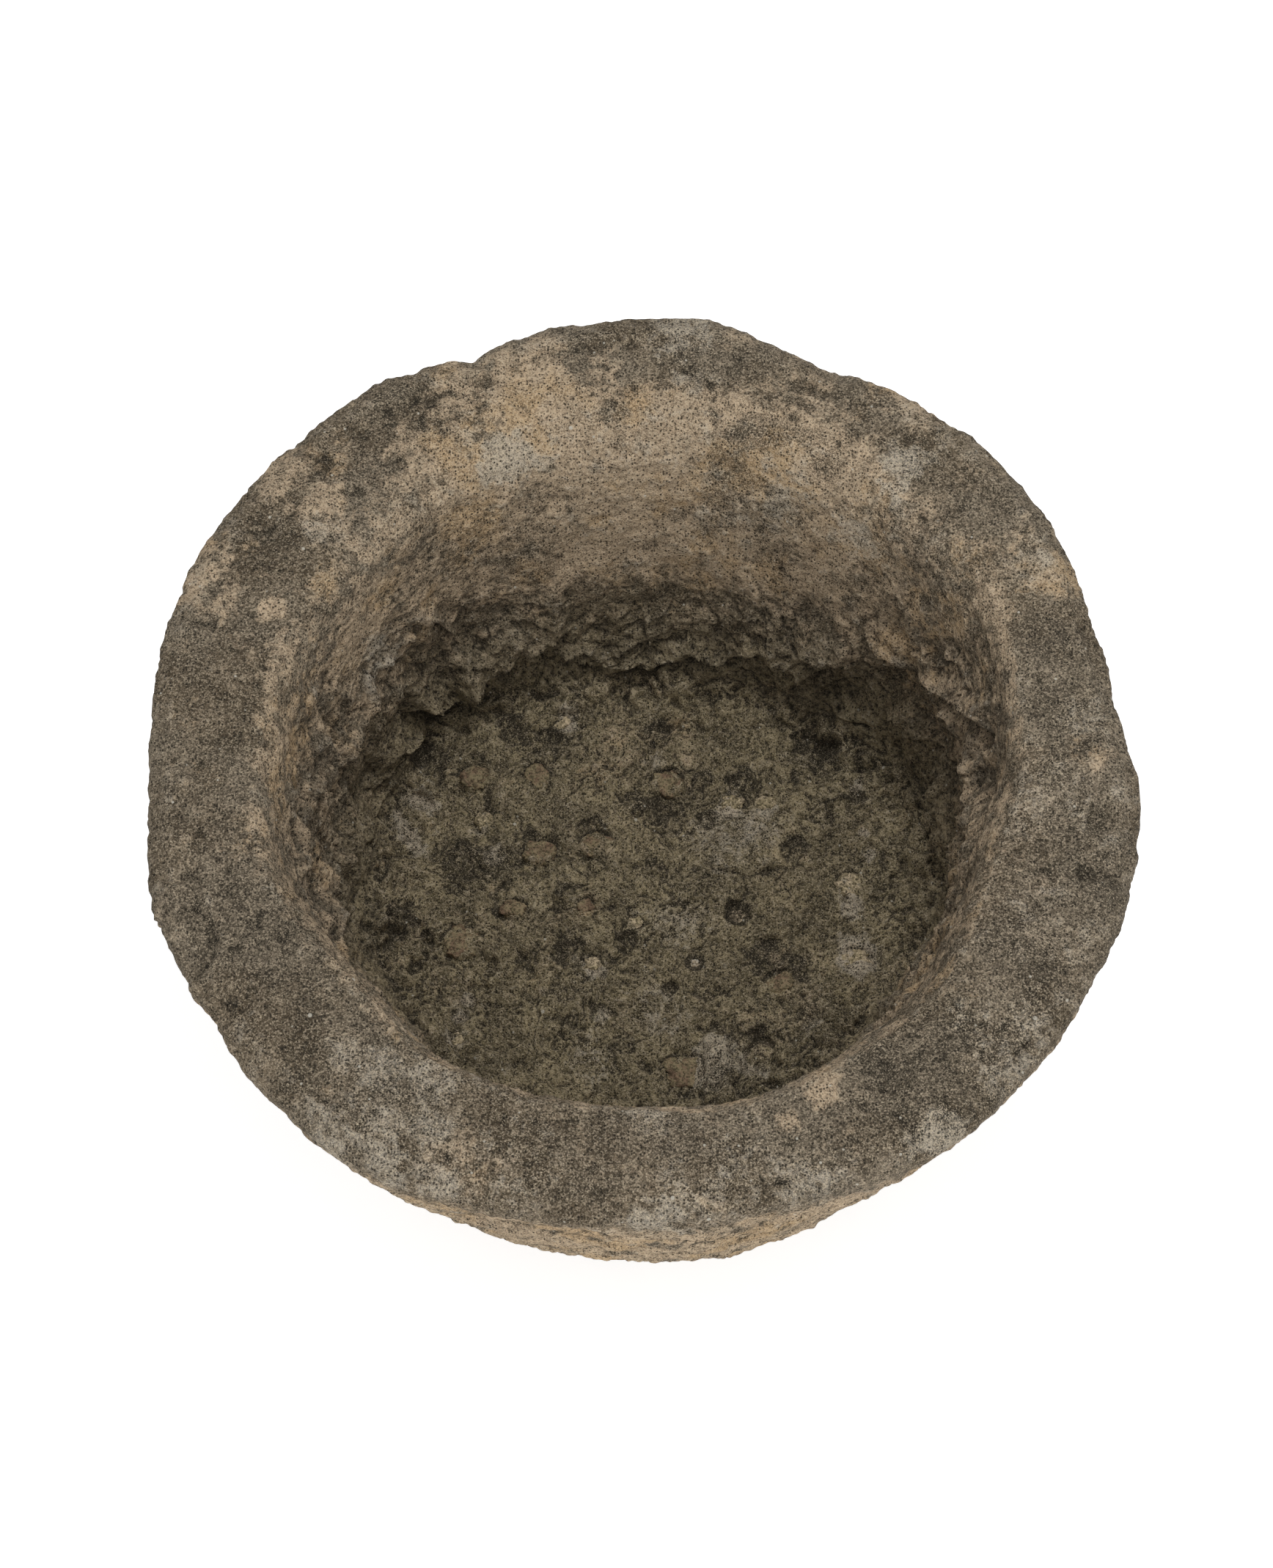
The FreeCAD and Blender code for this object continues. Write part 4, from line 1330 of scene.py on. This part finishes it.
FLOOR_HALF, FLOOR_DROP = 6.0, 0.4 * MM       # the stage floor lies just under the base
FLOOR_COLOUR, SHADOWED_COLOUR, WHITE = (0.8, 0.79, 0.77, 1.0), (0.8, 0.8, 0.8, 1.0), (1.0, 1.0, 1.0, 1.0)
FLOOR_GLOW = 0.62
KEY_PLACE, KEY_SIZE = (0.3, 0.6, 2.4), 0.8
FRONT_PLACE, FRONT_SIZE = (0.25, -2.4, 0.8), 1.4
SENSOR_WIDTH = 36.0          # millimetres, as the lens is
AIM = (-3.2 * MM, -18 * MM)  # where the camera looks, at the height of the rim's top


def white_when_seen(n, lit, white):
    """The white shader to the camera and in mirrors and glass, the other one to every other ray."""
    rays = n.add("ShaderNodeLightPath").outputs
    seen = n.plus(rays["Is Camera Ray"], rays["Is Glossy Ray"])
    seen = n.math("ADD", seen, rays["Is Transmission Ray"], clamp=True)
    choice = n.add("ShaderNodeMixShader", Fac=seen)
    n.feed(choice.inputs[1], lit.outputs[0])
    n.feed(choice.inputs[2], white.outputs[0])
    return choice.outputs[0]


def stage_material():
    """A plain pale floor, lifted to white where it is seen and still darkened by the shadow."""
    n = Nodes(bpy.data.materials.new("stage_floor"))
    pale = n.add("ShaderNodeBsdfDiffuse", Color=FLOOR_COLOUR)
    even = n.add("ShaderNodeBsdfDiffuse", Color=SHADOWED_COLOUR)
    glow = n.add("ShaderNodeEmission", Color=WHITE, Strength=FLOOR_GLOW)
    white = n.add("ShaderNodeAddShader")
    n.feed(white.inputs[0], even.outputs[0])
    n.feed(white.inputs[1], glow.outputs[0])
    n.add("ShaderNodeOutputMaterial", Surface=white_when_seen(n, pale, white))
    return n.owner


def soft_sky(strength):
    """A world of even white light, shown as plain white behind the floor."""
    n = Nodes(bpy.data.worlds.new("soft_sky"))
    light = n.add("ShaderNodeBackground", Color=WHITE, Strength=strength)
    white = n.add("ShaderNodeBackground", Color=WHITE, Strength=1.0)
    n.add("ShaderNodeOutputWorld", Surface=white_when_seen(n, light, white))
    return n.owner


def area_lamp(name, place, size, power):
    """A round soft lamp that faces the middle of the rim."""
    data = bpy.data.lights.new(name, "AREA")
    data.shape = "DISK"
    data.size = size
    data.energy = power
    lamp = bpy.data.objects.new(name, data)
    lamp.location = place
    lamp.rotation_euler = (Vector((0, 0, TOP)) - Vector(place)).to_track_quat("-Z", "Y").to_euler()
    bpy.context.scene.collection.objects.link(lamp)


def stage_floor():
    """A wide plain square just under the base."""
    mesh = bpy.data.meshes.new("stage_floor")
    corners = [(x * FLOOR_HALF, y * FLOOR_HALF, 0) for x, y in ((-1, -1), (1, -1), (1, 1), (-1, 1))]
    mesh.from_pydata(corners, [], [(0, 1, 2, 3)])
    mesh.materials.append(stage_material())
    floor = bpy.data.objects.new("stage_floor", mesh)
    floor.location.z = -FLOOR_DROP
    bpy.context.scene.collection.objects.link(floor)
    floor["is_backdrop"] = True


def front_camera(elevation, distance, lens):
    """A camera in front of the mortar that looks down on it."""
    data = bpy.data.cameras.new("camera")
    data.lens = lens
    data.sensor_width = SENSOR_WIDTH
    camera = bpy.data.objects.new("camera", data)
    back = Vector((0, -math.cos(elevation), math.sin(elevation)))
    camera.location = Vector((*AIM, TOP)) + back * distance
    camera.rotation_euler = (math.pi / 2 - elevation, 0, 0)
    bpy.context.scene.collection.objects.link(camera)
    return camera


class MORTAR_OT_stage(bpy.types.Operator):
    """Set the pale floor, the soft lamps, the sky and the camera"""

    bl_idname = "mortar.stage"
    bl_label = "Stage"

    def execute(self, context):
        scene = context.scene
        studio = scene.mortar_studio
        stage_floor()
        area_lamp("lamp_key", KEY_PLACE, KEY_SIZE, studio.key)
        area_lamp("lamp_front", FRONT_PLACE, FRONT_SIZE, studio.front)
        scene.world = soft_sky(studio.sky)
        scene.camera = front_camera(studio.elevation, studio.distance, studio.lens)
        scene.view_settings.view_transform = "Standard"
        return {"FINISHED"}


# ---- Panel and registration ----

class MORTAR_PT_panel(bpy.types.Panel):
    """Lists the pieces of the mortar and its stage"""

    bl_idname = "MORTAR_PT_panel"
    bl_label = "Mortar"
    bl_space_type = "VIEW_3D"
    bl_region_type = "UI"
    bl_category = "Mortar"

    def draw(self, context):
        for operator in OPERATORS:
            self.layout.operator(operator.bl_idname)
        scene = context.scene
        for group in (scene.mortar_relief, scene.mortar_colours, scene.mortar_studio):
            for name in group.__annotations__:
                self.layout.prop(group, name)


OPERATORS = (MORTAR_OT_block, MORTAR_OT_red_clasts, MORTAR_OT_pale_clasts, MORTAR_OT_grit, MORTAR_OT_pebble,
             MORTAR_OT_stage)
CLASSES = (ReliefSizes, StoneColours, StudioSettings, *OPERATORS, MORTAR_PT_panel)


def register():
    for cls in CLASSES:
        bpy.utils.register_class(cls)
    bpy.types.Scene.mortar_relief = PointerProperty(type=ReliefSizes)
    bpy.types.Scene.mortar_colours = PointerProperty(type=StoneColours)
    bpy.types.Scene.mortar_studio = PointerProperty(type=StudioSettings)


def unregister():
    del bpy.types.Scene.mortar_relief, bpy.types.Scene.mortar_colours, bpy.types.Scene.mortar_studio
    for cls in reversed(CLASSES):
        bpy.utils.unregister_class(cls)


def plain(bounds):
    """Two corners as plain lists of numbers."""
    return [[float(v) for v in corner] for corner in bounds]


def main():
    register()
    bpy.ops.mortar.block()
    bpy.ops.mortar.red_clasts()
    bpy.ops.mortar.pale_clasts()
    bpy.ops.mortar.grit()
    bpy.ops.mortar.pebble()
    bpy.ops.mortar.stage()
    {"cad": plain((CAD_LOW, CAD_HIGH)), "visual": plain(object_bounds())}


if __name__ == "__main__":
    main()
